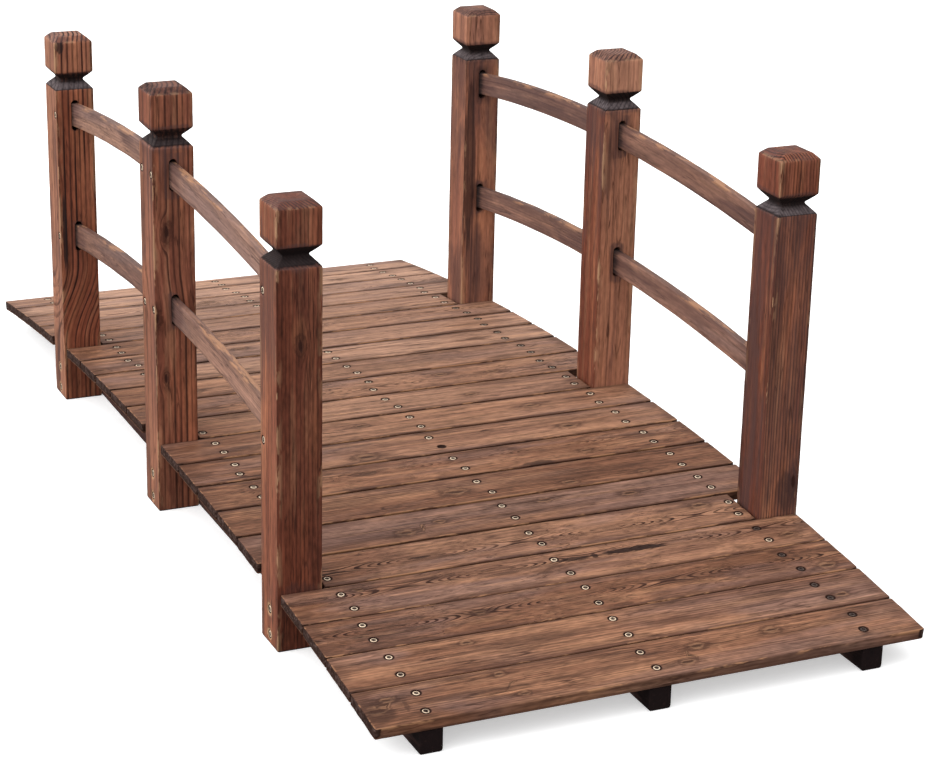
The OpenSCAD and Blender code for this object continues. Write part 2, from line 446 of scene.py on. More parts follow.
def board_loops(k, sizes, half_l, top_z):
    """Closed loops of points from a board's face over its worn edge and down to its underside."""
    half_w = BOARD_W / 2
    corner = CUT_CORNER if k in CUT_BOARDS else CORNER
    base = rounded_section(half_l, half_w, [corner] * 4, 92, 10, arc=5)

    def worn_in(a, b, endwise):
        """How far the edge is worn back at a place on the outline; endwise is 1 at the board's ends."""
        a = max(-half_l + 0.004, min(half_l - 0.004, a))
        b = max(-half_w + 0.004, min(half_w - 0.004, b))
        wave = sizes.edge_wear * (0.2 + 0.6 * sink(k, a * 14, b * 60))
        nick = max(0.0, ripple(k + 15, a * 75, b * 30) - 0.35)
        fine = sizes.edge_wear * (0.25 * sink(k + 40, a * 110, b * 200) + 2.2 * nick)
        rough = endwise * sizes.end_wear * sink(k + 80, b * 160, a * 3)
        return wave + fine + rough

    loops = []
    for inward in (0.0, 0.12, 0.32, 0.6, 1.0, 2.0):
        loop = []
        for a, b, na, nb, on_corner in base:
            ease = sizes.board_ease * (0.75 + 0.5 * sink(k + 20, a * 22, b * 40))
            d = inward * ease
            shrink = max(corner - d, 0.0003)
            pa, pb = a, b
            if abs(a) > half_l - corner - 1e-6:
                pa = math.copysign(1, a) * (half_l - d - shrink) + na * shrink
            if abs(b) > half_w - corner - 1e-6:
                pb = math.copysign(1, b) * (half_w - d - shrink) + nb * shrink
            worn = worn_in(a, b, na * na)
            if on_corner:
                worn = min(worn, 0.4 * corner)
            pa -= na * worn
            pb -= nb * worn
            drop = 0.0 if inward >= 1 else ease - math.sqrt(max(0.0, ease * ease - (ease - d) ** 2))
            loop.append(Vector((pa, pb, top_z(pa, pb) - drop)))
        loops.append(loop)
    under = []
    for depth, inward in ((0.30, 0.0), (0.62, 0.0), (0.94, 0.0), (1.0, 0.0004)):
        loop = []
        for p, (a, b, na, nb, _) in zip(loops[0], base):
            back = inward + 0.0002 * sink(k + 30, a * 120, b * 120, depth * 9)
            z = p.z + (-BOARD_T - p.z) * depth if depth < 1 else -BOARD_T
            loop.append(Vector((p.x - na * back, p.y - nb * back, z)))
        under.append(loop)
    return loops[::-1] + under


def face_grid(k, half_l, screws):
    """Places in rows all over a board's face, each moved a little by chance, and none near a screw."""
    dice = random.Random(k)
    inner_a, inner_b = half_l - GRID_END, BOARD_W / 2 - GRID_SIDE
    rows = int(2 * inner_b / GRID_ACROSS)
    cols = int(2 * inner_a / GRID_ALONG)
    places = []
    for i in range(cols + 1):
        for j in range(rows + 1):
            a = -inner_a + 2 * inner_a * i / cols + dice.uniform(-0.0015, 0.0015)
            b = -inner_b + 2 * inner_b * j / rows + dice.uniform(-0.0012, 0.0012)
            if min(math.hypot(a - y, b - x) for y, x in screws) > DIP_CLEAR:
                places.append(Vector((a, b)))
    return places


def board_shape(k, sizes, half_l, screws):
    """Points and faces of a level board, the points as (along, across, up) from the middle of its face."""

    def top_z(a, b):
        """Height of the board's face, with the sunk places of its screws."""
        z = -sizes.face_wear * sink(k + 60, a * 9, b * 28)
        for y, x in screws:
            d = math.hypot(a - y, b - x)
            if d < DIP_RINGS[0]:
                z -= 0.0012 * (1 - ramp(d, 0.0044, 0.0052)) + 0.0003 * (1 - ramp(d, 0.0048, DIP_RINGS[0]))
        return z

    rings = board_loops(k, sizes, half_l, top_z)
    count = len(rings[0])
    verts = [p for ring in rings for p in ring]
    faces = quads_between(len(rings), count)
    flat = [Vector((p.x, p.y)) for p in rings[0]]
    edges = []
    for y, x in screws:
        for r in DIP_RINGS:
            first = len(flat)
            flat += [Vector((y + c, x + s)) for c, s in circle(r, ROUND_STEPS)]
            edges += [(first + i, first + (i + 1) % ROUND_STEPS) for i in range(ROUND_STEPS)]
        flat.append(Vector((y, x)))
    flat += face_grid(k, half_l, screws)
    outline = [list(range(count))]
    out, _, tris, origin, _, _ = delaunay_2d_cdt(flat, edges, outline, 1, 1e-7)
    place = {}
    for i, sources in enumerate(origin):
        rim = [s for s in sources if s < count]
        if rim:
            place[i] = rim[0]
        else:
            place[i] = len(verts)
            verts.append(Vector((out[i].x, out[i].y, top_z(out[i].x, out[i].y))))
    faces += [tuple(place[i] for i in t) for t in tris]
    # The underside, closed inside the last loop.
    last = (len(rings) - 1) * count
    low_loop = [Vector((p.x, p.y)) for p in rings[-1]]
    _, _, low_tris, low_origin, _, _ = delaunay_2d_cdt(low_loop, [], outline, 1, 1e-7)
    faces += [tuple(last + low_origin[i][0] for i in t) for t in low_tris]
    return verts, faces


def build_board(k, sizes, material):
    """One deck board with worn edges, rough ends and a sunk place for each screw."""
    half_l, half_w = board_half_length(k), BOARD_W / 2
    screws = board_screws(k)
    verts, faces = board_shape(k, sizes, half_l, screws)
    # The bridge has X for across a board and Y for along it.
    to_bridge = board_place(k)
    verts = [to_bridge @ Vector((p.y, p.x, p.z)) for p in verts]
    piece = new_piece(f"stained_board_{k:02d}", verts, faces, board_name(k), material)
    from_bridge = to_bridge.inverted()
    knots, burns = BOARD_KNOTS.get(k, ()), BOARD_BURNS.get(k, ())
    pith = PITH_BANDS.get(k, -board_grain(k, 0.0, 0.0, 0.0)[0][1])
    # Each board has a tone that differs at random, and the boards grow paler towards the far end, most over
    # the last ones: painted light, for the sheen on the far deck and the duller near deck.
    tone = 0.16 + 0.38 * random.Random(700 + k).random() + 0.62 * k / BOARDS + 0.22 * ramp(k, 15, 21)
    # The sides of the boards in the gaps are dark partly from burning and partly as painted shade, darker in
    # the far gaps.
    gap_burn_and_shade = 0.60 if k < 14 else 0.95

    def local_of(v):
        p = from_bridge @ v.co
        return p.y, p.x, p.z

    def grain_of(v):
        return board_grain(k, *local_of(v))[0]

    def marks_of(v):
        a, b, c = local_of(v)
        from_end, from_side = half_l - abs(a), half_w - abs(b)
        in_gap = (b > 0 and k > 1) or (b < 0 and k < BOARDS)
        # A side that faces a gap: burn plus painted shade of the gap.
        side_burn_and_shade = gap_burn_and_shade * sink(k + 33, a * 13, b) if in_gap else 0.05
        heat = side_burn_and_shade * (1 - ramp(from_side, 0.001, 0.006)) + 0.16 * (1 - ramp(from_end, 0.002, 0.03))
        if from_end < 0.0030:
            ashy = 1.0 + 0.9 * sink(k + 50, b * 260, c * 260)
            heat = max(heat, ashy * ramp(-c, 0.0002, 0.0010))
        # Further down a side in a gap it darkens more: painted shade deep in the gap.
        if from_side < 0.0030 and in_gap:
            heat = max(heat, 0.72 * ramp(-c, 0.0003, 0.0016))
        # A dark ring round each screw: char plus painted shade of its sunk ring.
        for y, x in screws:
            heat = max(heat, 1 - ramp(math.hypot(a - y, b - x), 0.0057, 0.0070))
        if c < -BOARD_T + 0.001:
            heat = 0.35
        arris = 1 - ramp(min(from_end, from_side), 0.0008, 0.0030)
        arris *= 1 - ramp(-c, 0.0020, 0.0045)
        # The tone falls towards the left end of each board: painted shade along the left side of the deck.
        return heat, arris, tone - 0.25 * ramp(-a, 0.15, 0.30), board_grain(k, a, b, c)[1]

    def spots_of(v):
        a, b, _ = local_of(v)
        return nearest_knot(knots, a, b, pith), nearest_burn(burns, a, b)

    spacing = 0.0029 if k in PITH_BANDS else random.Random(300 + k).uniform(0.0022, 0.0040)
    write_attributes(piece, spacing, grain_of, marks_of, spots_of)
    smooth(piece)
    return piece


# The posts, rails, stringers and screws


def post_levels(eaves):
    """Heights up a post, each with how far its section is drawn in, and 1 where the saw cut unevenly."""
    block = eaves - BLOCK_H
    neck_top = block - NECK_IN
    neck_low = neck_top - NECK_FLAT
    shoulder = neck_low - NECK_IN
    levels = [(0.0, 0.0012, 0.0), (0.0007, 0.0005, 0.0), (0.0022, 0.0, 0.0)]
    z, top = 0.010, shoulder - 0.006
    steps = int((top - z) / 0.0075)
    levels += [(z + (top - z) * i / steps, 0.0, 0.0) for i in range(steps + 1)]
    levels += [
        (shoulder - 0.0016, 0.0, 1.0),
        (shoulder - 0.0004, 0.00025, 1.0),
        (shoulder + 0.0007, 0.0011, 1.0),
        (shoulder + 0.0035, 0.0036, 1.0),
        (shoulder + 0.007, 0.0071, 1.0),
        (neck_low - 0.0008, NECK_IN - 0.0006, 1.0),
        (neck_low + 0.0004, NECK_IN, 1.0),
        (neck_top - 0.0004, NECK_IN, 1.0),
        (neck_top + 0.0008, NECK_IN - 0.0006, 1.0),
        (block - 0.007, 0.0071, 1.0),
        (block - 0.0035, 0.0036, 1.0),
        (block - 0.0007, 0.0011, 1.0),
        (block + 0.0004, 0.00025, 1.0),
        (block + 0.0016, 0.0, 1.0),
    ]
    levels += [(block + 0.006 + 0.0061 * i, 0.0, 0.0) for i in range(6)]
    levels += [
        (eaves - 0.0016, 0.0, 0.0),
        (eaves - 0.0005, 0.0003, 0.0),
        (eaves + 0.0006, 0.0011, 0.0),
        (eaves + HIP_H * 0.35, HIP_IN * 0.38, 0.0),
        (eaves + HIP_H * 0.68, HIP_IN * 0.70, 0.0),
        (eaves + HIP_H * 0.93, HIP_IN * 0.95, 0.0),
        (eaves + HIP_H * 0.995, HIP_IN + 0.0010, 0.0),
        (eaves + HIP_H, HIP_IN + 0.0045, 0.0),
        (eaves + HIP_H, HIP_IN + 0.0110, 0.0),
    ]
    return levels


PostLook = namedtuple("PostLook", "pith spacing tones browned upper hips figure neck ash")

# Of each post: where its pith lies from its axis along X and Y, how wide its rings are, how pale its X
# faces, Y faces and cap are, how far the flame browned its X faces and Y faces, its upper part and its
# hips, how strongly its rings show, and how black and how ashen its neck is. The pale and the browning
# of the Y faces differ from the X faces partly as painted light: paler and greyer on the left posts for
# the light and sheen of the bright side, darker on the near and mid right posts as painted shade.
POST_LOOKS = {
    "near_left_post": PostLook(
        pith=(-0.060, 0.070), spacing=0.0030, tones=(-0.14, 0.58, 0.14), browned=(0.03, 0.245),
        upper=0.03, hips=0.6, figure=0.70, neck=1.00, ash=0.10,
    ),
    "mid_left_post": PostLook(
        pith=(-0.020, -0.080), spacing=0.0062, tones=(0.52, 0.72, 0.52), browned=(0.00, 0.20),
        upper=0.03, hips=1.0, figure=0.95, neck=0.80, ash=0.40,
    ),
    "far_left_post": PostLook(
        pith=(-0.020, -0.090), spacing=0.0062, tones=(0.42, 0.86, 0.66), browned=(0.02, 0.14),
        upper=0.00, hips=0.5, figure=1.25, neck=0.90, ash=1.30,
    ),
    "near_right_post": PostLook(
        pith=(-0.012, 0.085), spacing=0.0036, tones=(0.60, -0.05, 0.48), browned=(0.30, 0.32),
        upper=0.04, hips=0.2, figure=1.10, neck=0.95, ash=1.10,
    ),
    "mid_right_post": PostLook(
        pith=(-0.040, -0.050), spacing=0.0044, tones=(0.78, 0.20, 1.15), browned=(0.13, 0.22),
        upper=0.10, hips=0.8, figure=0.50, neck=1.00, ash=1.30,
    ),
    "far_right_post": PostLook(
        pith=(0.090, 0.010), spacing=0.0034, tones=(0.68, 0.76, 0.85), browned=(0.20, 0.225),
        upper=0.14, hips=0.8, figure=0.60, neck=1.00, ash=1.00,
    ),
}

# Knots that show on a post's X faces: height, place along Y from the axis, and radius
POST_KNOTS = {
    "near_left_post": ((0.360, 0.001, 0.0048),),
    "mid_left_post": ((0.367, -0.010, 0.0055), (0.2585, -0.0235, 0.0045), (0.178, -0.014, 0.0035)),
    "near_right_post": ((0.112, 0.019, 0.0060),),
}

# Where the grain of a post swings aside on its way down: from and to which height, and how far along Y
POST_SWINGS = {"far_left_post": (0.200, 0.085, -0.034), "mid_left_post": (0.330, 0.250, 0.006)}

# Where the foremost edge of a post is rubbed bare, as heights
POST_BARE = {
    "near_left_post": ((0.486, 0.503), (0.300, 0.309)),
    "mid_left_post": ((0.413, 0.430), (0.262, 0.272), (0.190, 0.198)),
    "far_left_post": ((0.485, 0.506), (0.330, 0.345)),
    "near_right_post": ((0.340, 0.352),),
    "mid_right_post": ((0.505, 0.515), (0.250, 0.262)),
}

# Burnt or pale spots on a post's X faces: height, place along Y from the axis, half length, half width
# and how burnt
POST_BURNS = {
    "near_left_post": ((0.060, 0.0, 0.020, 0.030, 0.45), (0.373, 0.001, 0.022, 0.0090, -1.00)),
    "mid_left_post": ((0.420, -0.010, 0.040, 0.012, -0.40),),
    "far_left_post": ((0.250, -0.0200, 0.050, 0.0030, 0.90), (0.511, -0.019, 0.009, 0.006, 0.85)),
    "near_right_post": ((0.100, 0.010, 0.030, 0.014, 0.55), (0.300, -0.020, 0.120, 0.008, 0.35)),
    "mid_right_post": ((0.315, 0.010, 0.050, 0.018, -0.80), (0.400, -0.020, 0.050, 0.008, 0.45)),
    "far_right_post": ((0.290, -0.018, 0.150, 0.009, 0.75), (0.150, 0.014, 0.060, 0.010, -0.45)),
}


MORTISE_STEPS = 24


def mortise_cutter(post, x, into, crown):
    """A round-ended slot with a slightly flared mouth."""
    mouth, tip = rail_z(x, crown), rail_z(x + into * TENON, crown)
    middle = (mouth + tip) / 2
    rise = RAIL_H / 2 - 0.001 + abs(mouth - tip) / 2
    y = math.copysign(POST_Y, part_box(post)[0].y)
    rings = []
    for depth, flare in ((-0.001, 0.0008), (0.0008, 0.0), (MORTISE_DEPTH, 0.0)):
        ring = []
        for c, s in circle(MORTISE_HALF_T + flare, MORTISE_STEPS):
            up = rise if s >= 0 else -rise
            ring.append(Vector((x + into * depth, y + c, middle + up + s)))
        rings.append(ring)
    return loft(rings)


def crater_cutter(x, y, z, out):
    """A shallow round sink for a screw head in a face along Y, wider for the screws of the foot."""
    wide = 0.0078 if z in FOOT_SCREWS_Z else 0.0062
    steps = ((-0.001, wide + 0.002), (0.0001, wide), (0.0002, 0.0057), (0.0004, 0.0050), (0.0018, 0.0045))
    rings = []
    for depth, r in steps:
        rings.append([Vector((x + c, y - out * depth, z + s)) for c, s in circle(r, ROUND_STEPS)])
    return loft(rings)


def build_post(name, sizes, material):
    """One square post with its block cap, its neck, its mortises and the sinks of its screws."""
    low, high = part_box(name)
    seed = 3 + POSTS.index(name)
    middle_x, middle_y = (low.x + high.x) / 2, (low.y + high.y) / 2
    eaves = high.z - HIP_H
    dice = random.Random(seed)
    shift = [dice.uniform(-0.0009, 0.0009) for _ in range(4)]
    rings = []
    for z, inward, hand_cut in post_levels(eaves):
        half = POST_HALF - inward
        radius = min(sizes.post_ease * (0.7 + 0.6 * sink(seed, z * 20)), half * 0.4)
        ring = []
        for a, b, na, nb, on_corner in rounded_section(half, half, [radius] * 4, 8, 8, arc=4):
            side = int(((math.atan2(nb, na) + math.pi / 4) % (2 * math.pi)) // (math.pi / 2))
            flat = 0.5 * sizes.face_wear * sink(seed + side, z * 14, a * 40, b * 40)
            corner_id = (1 if a > 0 else 0) + (2 if b > 0 else 0)
            nick = max(0.0, ripple(seed + 11 * corner_id, z * 55, corner_id * 5.0) - 0.25)
            edge = 0.15 * sink(seed + corner_id, z * 30) + 1.1 * nick
            wear = sizes.edge_wear * edge if on_corner else 0.0
            fade = min(1.0, (POST_HALF - inward) / POST_HALF + 0.2)
            depth = (flat + wear) * fade
            lift = hand_cut * shift[side]
            if on_corner:
                other = (side + (1 if na * nb > 0 else -1)) % 4
                lift = hand_cut * (shift[side] + shift[other]) / 2
            down = 0.0003 * sink(seed + 70, a * 60, b * 60) if z > eaves + HIP_H * 0.9 else 0.0
            ring.append(Vector((middle_x + a - na * depth, middle_y + b - nb * depth, z + lift - down)))
        rings.append(ring)
    verts, faces = loft(rings)
    piece = new_piece(f"stained_{name}", verts, faces, name, material)
    out = math.copysign(1, middle_y)
    outer_y = high.y if out > 0 else low.y
    bays = post_bay_faces(name)
    tools = [mortise_cutter(name, x, into, crown) for x, into in bays for crown in (RAIL_TOP_Z, RAIL_LOW_Z)]
    tools += [crater_cutter(x, outer_y - out * 0.0002, z, out) for x, z in post_screws(name)]
    all_verts, all_faces = [], []
    for tool_verts, tool_faces in tools:
        first = len(all_verts)
        all_verts += tool_verts
        all_faces += [tuple(first + i for i in f) for f in tool_faces]
    cut(piece, new_piece(f"cutter_{name}", all_verts, all_faces))

    look = POST_LOOKS[name]
    pith_x, pith_y = look.pith
    block = eaves - BLOCK_H
    shoulder = block - 2 * NECK_IN - NECK_FLAT
    knots, burns = POST_KNOTS.get(name, ()), POST_BURNS.get(name, ())
    screws = post_screws(name)
    bare = POST_BARE.get(name, ())
    swing_top, swing_end, swing_far = POST_SWINGS.get(name, (1.0, 0.0, 0.0))

    def grain_of(v):
        x, y, z = v.co
        swung = swing_far * ramp(-z, -swing_top, -swing_end)
        return (z + 5.3 * seed, x - middle_x - pith_x, y - middle_y - pith_y - swung)

    def marks_of(v):
        x, y, z = v.co
        a, b = abs(x - middle_x), abs(y - middle_y)
        from_face = POST_HALF - max(a, b)
        on_y = ramp(b - a, -0.001, 0.001)
        # The Y faces take their own browning and tone, partly painted light.
        heat = look.browned[0] + (look.browned[1] - look.browned[0]) * on_y
        tone = look.tones[0] + (look.tones[1] - look.tones[0]) * on_y
        if z < shoulder:
            below = shoulder - z
            heat += look.upper * (1 - ramp(below, 0.03, 0.22))
            heat += (0.12 + 1.5 * look.upper) * (1 - ramp(below, -0.004, 0.010))
        elif z > block:
            # The cap's Y faces are paler by part of the post's Y face difference: painted light.
            tone = look.tones[2] + 0.45 * (look.tones[1] - look.tones[0]) * on_y
            heat = 0.5 * heat + 0.30 * (1 - ramp(z - block, -0.001, 0.007))
            heat += look.hips * 0.28 * ramp(z, eaves - 0.003, eaves + 0.002)
            if z > eaves:
                hip = POST_HALF - HIP_IN
                heat += look.hips * 0.34 * ramp(max(a, b), hip - 0.010, hip + 0.002)
        for at_x, _ in bays:
            if abs(x - at_x) < 0.003:
                for crown in (RAIL_TOP_Z, RAIL_LOW_Z):
                    above = abs(z - rail_z(at_x, crown)) - RAIL_H / 2 - 0.004
                    heat += 0.35 * (1 - ramp(max(b - MORTISE_HALF_T, above), 0.0, 0.010))
        in_neck = ramp(z, shoulder - 0.0010, shoulder + 0.0016)
        in_neck *= 1 - ramp(z, block - 0.0016, block + 0.0010)
        outside = (outer_y - y) * out < 0.004
        heat = max(heat, look.neck * in_neck)
        # The foot's bottom and the faces sunk into the post are char-dark, the sunk faces as painted shade in
        # the mortises and screw sinks.
        if z < 0.002 or (heat < 0.9 and from_face > 0.0016 and z < shoulder):
            heat = 0.9
        # A dark ring round each outer screw: char plus painted shade of its sink.
        for at_x, at_z in screws:
            if outside:
                heat = max(heat, 1 - ramp(math.hypot(x - at_x, z - at_z), 0.0048, 0.0058))
        heat = min(heat, 1.0)
        if shoulder < z < shoulder + NECK_IN:
            ashy = ramp(z, shoulder - 0.0005, shoulder + 0.002)
            heat += look.ash * ashy * (1 - ramp(z, shoulder + 0.006, shoulder + 0.0105))
        arris = 1 - ramp(POST_HALF - min(a, b), 0.0005, 0.0018)
        if x > middle_x and y < middle_y and any(start < z < end for start, end in bare):
            arris *= 2
        if z > eaves - 0.004:
            arris = max(arris, 0.35 * (1 - ramp(abs(z - eaves), 0.0005, 0.0018)))
        for at_x, at_z in screws[: len(FOOT_SCREWS_Z)]:
            if outside:
                arris = max(arris, 1.8 * (1 - ramp(math.hypot(x - at_x, z - at_z), 0.0070, 0.0085)))
        end_grain = max(in_neck, ramp(z, eaves - 0.001, eaves + 0.002))
        figure = look.figure * (1 - 0.4 * on_y)
        return heat, arris * (1 - 0.7 * in_neck), tone, figure + (2.0 - figure) * end_grain

    def spots_of(v):
        x, y, z = v.co
        if abs(abs(x - middle_x) - POST_HALF) > 0.0015:
            return NO_SPOT, NO_SPOT
        across = y - middle_y
        return nearest_knot(knots, z, across, pith_y), nearest_burn(burns, z, across)

    write_attributes(piece, look.spacing, grain_of, marks_of, spots_of)
    smooth(piece, 34)
    return piece


# How pale each rail is, and how far the flame has browned it, from 0 to 1
RAIL_TONE = {
    "near_left_top_rail": (0.90, 0.00),
    "near_left_low_rail": (0.70, 0.06),
    "far_left_top_rail": (0.80, 0.06),
    "far_left_low_rail": (0.50, 0.18),
    "near_right_top_rail": (0.42, 0.12),
    "near_right_low_rail": (0.60, 0.16),
    "far_right_top_rail": (0.50, 0.26),
    "far_right_low_rail": (0.55, 0.26),
}


def rail_ends(name):
    """X of a rail's two ends and the height of its middle at mid-span."""
    low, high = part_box(name)
    return low.x, high.x, RAIL_TOP_Z if "top" in name else RAIL_LOW_Z


def build_rail(name, sizes, material):
    """One arched rail with softened edges, its ends hidden in the posts."""
    x0, x1, crown = rail_ends(name)
    seed = 30 + RAILS.index(name)
    low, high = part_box(name)
    middle_y = (low.y + high.y) / 2
    stations = 62
    rings = []
    for s in range(stations + 1):
        x = x0 + (x1 - x0) * s / stations
        lean = math.asin(x / RAIL_R)
        up = Vector((math.sin(lean), 0, math.cos(lean)))
        centre = Vector((x, middle_y, rail_z(x, crown)))
        ring = []
        ease = sizes.rail_ease * (0.7 + 0.6 * sink(seed, x * 18))
        for a, b, na, nb, on_corner in rounded_section(RAIL_H / 2, RAIL_T / 2, [ease] * 4, 8, 3):
            worn = 0.5 * sizes.face_wear * sink(seed, x * 16, a * 60, b * 60)
            if on_corner or abs(na) > 0.7:
                worn += 0.5 * sizes.edge_wear * sink(seed + 5, x * 28, a * 30, b * 90)
            end = 1.0 if 0 < s < stations else 0.9
            ring.append(centre + up * ((a - na * worn) * end) + Vector((0, (b - nb * worn) * end, 0)))
        rings.append(ring)
    verts, faces = loft(rings)
    piece = new_piece(f"stained_{name}", verts, faces, name, material)
    dice = random.Random(seed)
    pith_up, pith_side = dice.uniform(-0.035, 0.035), dice.uniform(0.02, 0.06) * dice.choice((-1, 1))
    tone, browned = RAIL_TONE[name]

    def place_of(v):
        lean = math.asin(max(-1.0, min(1.0, v.co.x / RAIL_R)))
        return RAIL_R * lean, (v.co.z - rail_z(v.co.x, crown)) * math.cos(lean), v.co.y - middle_y

    def grain_of(v):
        a, b, c = place_of(v)
        return (a + 4.7 * seed, b - pith_up, c - pith_side)

    def marks_of(v):
        a, b, c = place_of(v)
        edge = max(0.0, RAIL_H / 2 - abs(b))
        arris = 1 - ramp(edge, 0.0012, 0.0036)
        if b < 0:
            arris *= 0.35
        near_end = min(v.co.x - x0, x1 - v.co.x) - TENON
        heat = browned + 0.5 * (1 - ramp(near_end, 0.0, 0.022)) + 0.22 * (1 - ramp(near_end, 0.01, 0.07))
        return heat, arris, tone, 0.5

    write_attributes(piece, 0.0026, grain_of, marks_of)
    smooth(piece)
    return piece


# Corner radii of a stringer's section, two above and two below, and how far its ends are eased
STRINGER_CORNERS = (0.0012, 0.0012, 0.003, 0.003)
STRINGER_EASE = 0.0012


def build_stringer(name, sizes, material):
    """One stringer, flat below and arched above."""
    low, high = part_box(name)
    middle_y, half_y = (low.y + high.y) / 2, (high.y - low.y) / 2
    seed = 60 + len(name)
    radius, crown = DECK_R - BOARD_T - 0.0001, high.z
    stations = 110
    rings = []
    for s in range(stations + 3):
        i = min(max(s - 1, 0), stations)
        x = low.x + (high.x - low.x) * i / stations
        end = s in (0, stations + 2)
        if s == 1:
            x += STRINGER_EASE
        if s == stations + 1:
            x -= STRINGER_EASE
        top = crown - radius + math.sqrt(radius * radius - x * x)
        draw = STRINGER_EASE if end else 0.0
        ring = []
        for a, b, na, nb, on_corner in rounded_section(half_y, top / 2, STRINGER_CORNERS, 4, 7):
            worn = 0.6 * sizes.face_wear * sink(seed, x * 12, a * 50, b * 40)
            if on_corner and b < 0:
                worn += 0.8 * sizes.edge_wear * sink(seed + 4, x * 40, a * 30)
            y = middle_y + a - na * (worn + draw)
            z = top / 2 + b - nb * draw - (worn * nb if nb > 0.5 else 0.0)
            if nb < -0.5:
                z = max(z, 0.0)
            ring.append(Vector((x, y, z)))
        rings.append(ring)
    verts, faces = loft(rings)
    piece = new_piece(f"stained_{name}", verts, faces, name, material)
    dice = random.Random(seed)
    pith_y, pith_z = dice.uniform(0.03, 0.06), dice.uniform(-0.06, 0.0)

    def grain_of(v):
        return (v.co.x + 6.1 * seed, v.co.y - middle_y - pith_y, v.co.z - pith_z)

    def marks_of(v):
        from_end = min(v.co.x - low.x, high.x - v.co.x)
        heat = 1.0 - 0.5 * ramp(from_end, 0.0, 0.05)
        arris = 1 - ramp(v.co.z, 0.0015, 0.004)
        return heat, 0.4 * arris, 0.3, 0.6

    write_attributes(piece, 0.0030, grain_of, marks_of)
    smooth(piece)
    return piece


# Half width and reach of the arms of a screw's cross, at its face and at its floor
CROSS = (0.00080, 0.00225)
CROSS_FLOOR = (CROSS[0] - 0.00014, CROSS[1] - 0.00014)


def screw_shape():
    """A countersunk head with a cross recess, its face at zero: points, faces and how dark painted shade
    makes each.
    """
    segments = 24
    flat = [Vector(p) for p in circle(0.92 * SCREW_R, segments)]
    edges = []
    for w, l in (CROSS, CROSS_FLOOR):
        outline = [(w, w), (w, l), (-w, l), (-w, w), (-l, w), (-l, -w)]
        outline += [(-w, -w), (-w, -l), (w, -l), (w, -w), (l, -w), (l, w)]
        first = len(flat)
        flat += [Vector(p) for p in outline]
        edges += [(first + i, first + (i + 1) % 12) for i in range(12)]
    flat.append(Vector((0, 0)))
    out, _, tris, origin, _, _ = delaunay_2d_cdt(flat, edges, [list(range(segments))], 1, 1e-8)
    verts, dark = [], []
    for i, p in enumerate(out):
        source = min(origin[i], default=99)
        inside = source >= segments + 12
        verts.append(Vector((p.x, p.y, -0.0013 if inside else 0.0)))
        # Darkness here is painted shade: in the cross recess and along its edges.
        dark.append(0.50 if inside else (0.85 if source >= segments else 0.0))
    faces = [tuple(t) for t in tris]
    rim = [next(i for i, o in enumerate(origin) if s in o) for s in range(segments)]
    # The head's edge sinks into the wood in rings that darken downward: painted shade round the rim.
    for r, z, d in ((SCREW_R, -0.0003, 0.45), (SCREW_R, -0.0006, 0.9), (0.0022, -0.0011, 1.0)):
        ring = [len(verts) + s for s in range(segments)]
        verts += [Vector((x, y, z)) for x, y in circle(r, segments)]
        dark += [d] * segments
        for s in range(segments):
            n = (s + 1) % segments
            faces.append((rim[s], ring[s], ring[n], rim[n]))
        rim = ring
    middle = len(verts)
    verts.append(Vector((0, 0, -0.0011)))
    dark.append(1.0)
    faces += [(rim[s], middle, rim[(s + 1) % segments]) for s in range(segments)]
    return verts, faces, dark


def build_screws(name, places, material):
    """One piece of many screw heads, each set at a place and turned by chance."""
    shape, shape_faces, shape_dark = screw_shape()
    dice = random.Random(len(places))
    verts, faces, dark = [], [], []
    for i, place in enumerate(places):
        turn = Matrix.Rotation(dice.uniform(0, math.pi / 2), 4, "Z")
        lean = Matrix.Rotation(math.radians(dice.uniform(-4, 4)), 4, "X")
        at = place @ Matrix.Translation((0, 0, -SCREW_SUNK - 0.0002 * dice.random())) @ turn @ lean
        first = len(verts)
        verts += [at @ p for p in shape]
        faces += [tuple(first + corner for corner in f) for f in shape_faces]
        # Some deck screws are darker as a whole by chance, and two runs of the right row much darker.
        darkening = dice.choice((0.0, 0.0, 0.05, 0.1, 0.2)) if "deck" in name else 0.0
        if "right_deck" in name:
            darkening = 0.8 if i < 7 else 0.45 if 21 < i < 32 else darkening
        dark += [min(1.0, d + darkening) for d in shape_dark]
    piece = new_piece(name, verts, faces, None, material)
    marks = piece.data.attributes.new("marks", "FLOAT_COLOR", "POINT")
    marks.data.foreach_set("color", [c for d in dark for c in (d, 0.0, 0.5, 1.0)])
    smooth(piece, 30)
    return piece


# The materials


class Wire:
    """An output socket of a node. Sums and products of wires add math nodes to their web."""

    def __init__(self, web, socket):
        self.web = web
        self.socket = socket

    def __add__(self, other):
        return self.web.math("ADD", self, other)

    def __sub__(self, other):
        return self.web.math("SUBTRACT", self, other)

    def __rsub__(self, other):
        return self.web.math("SUBTRACT", other, self)

    def __mul__(self, other):
        return self.web.math("MULTIPLY", self, other)

    def __truediv__(self, other):
        return self.web.math("DIVIDE", self, other)

    def clamped(self):
        """The same math node, keeping its result between 0 and 1."""
        self.socket.node.use_clamp = True
        return self


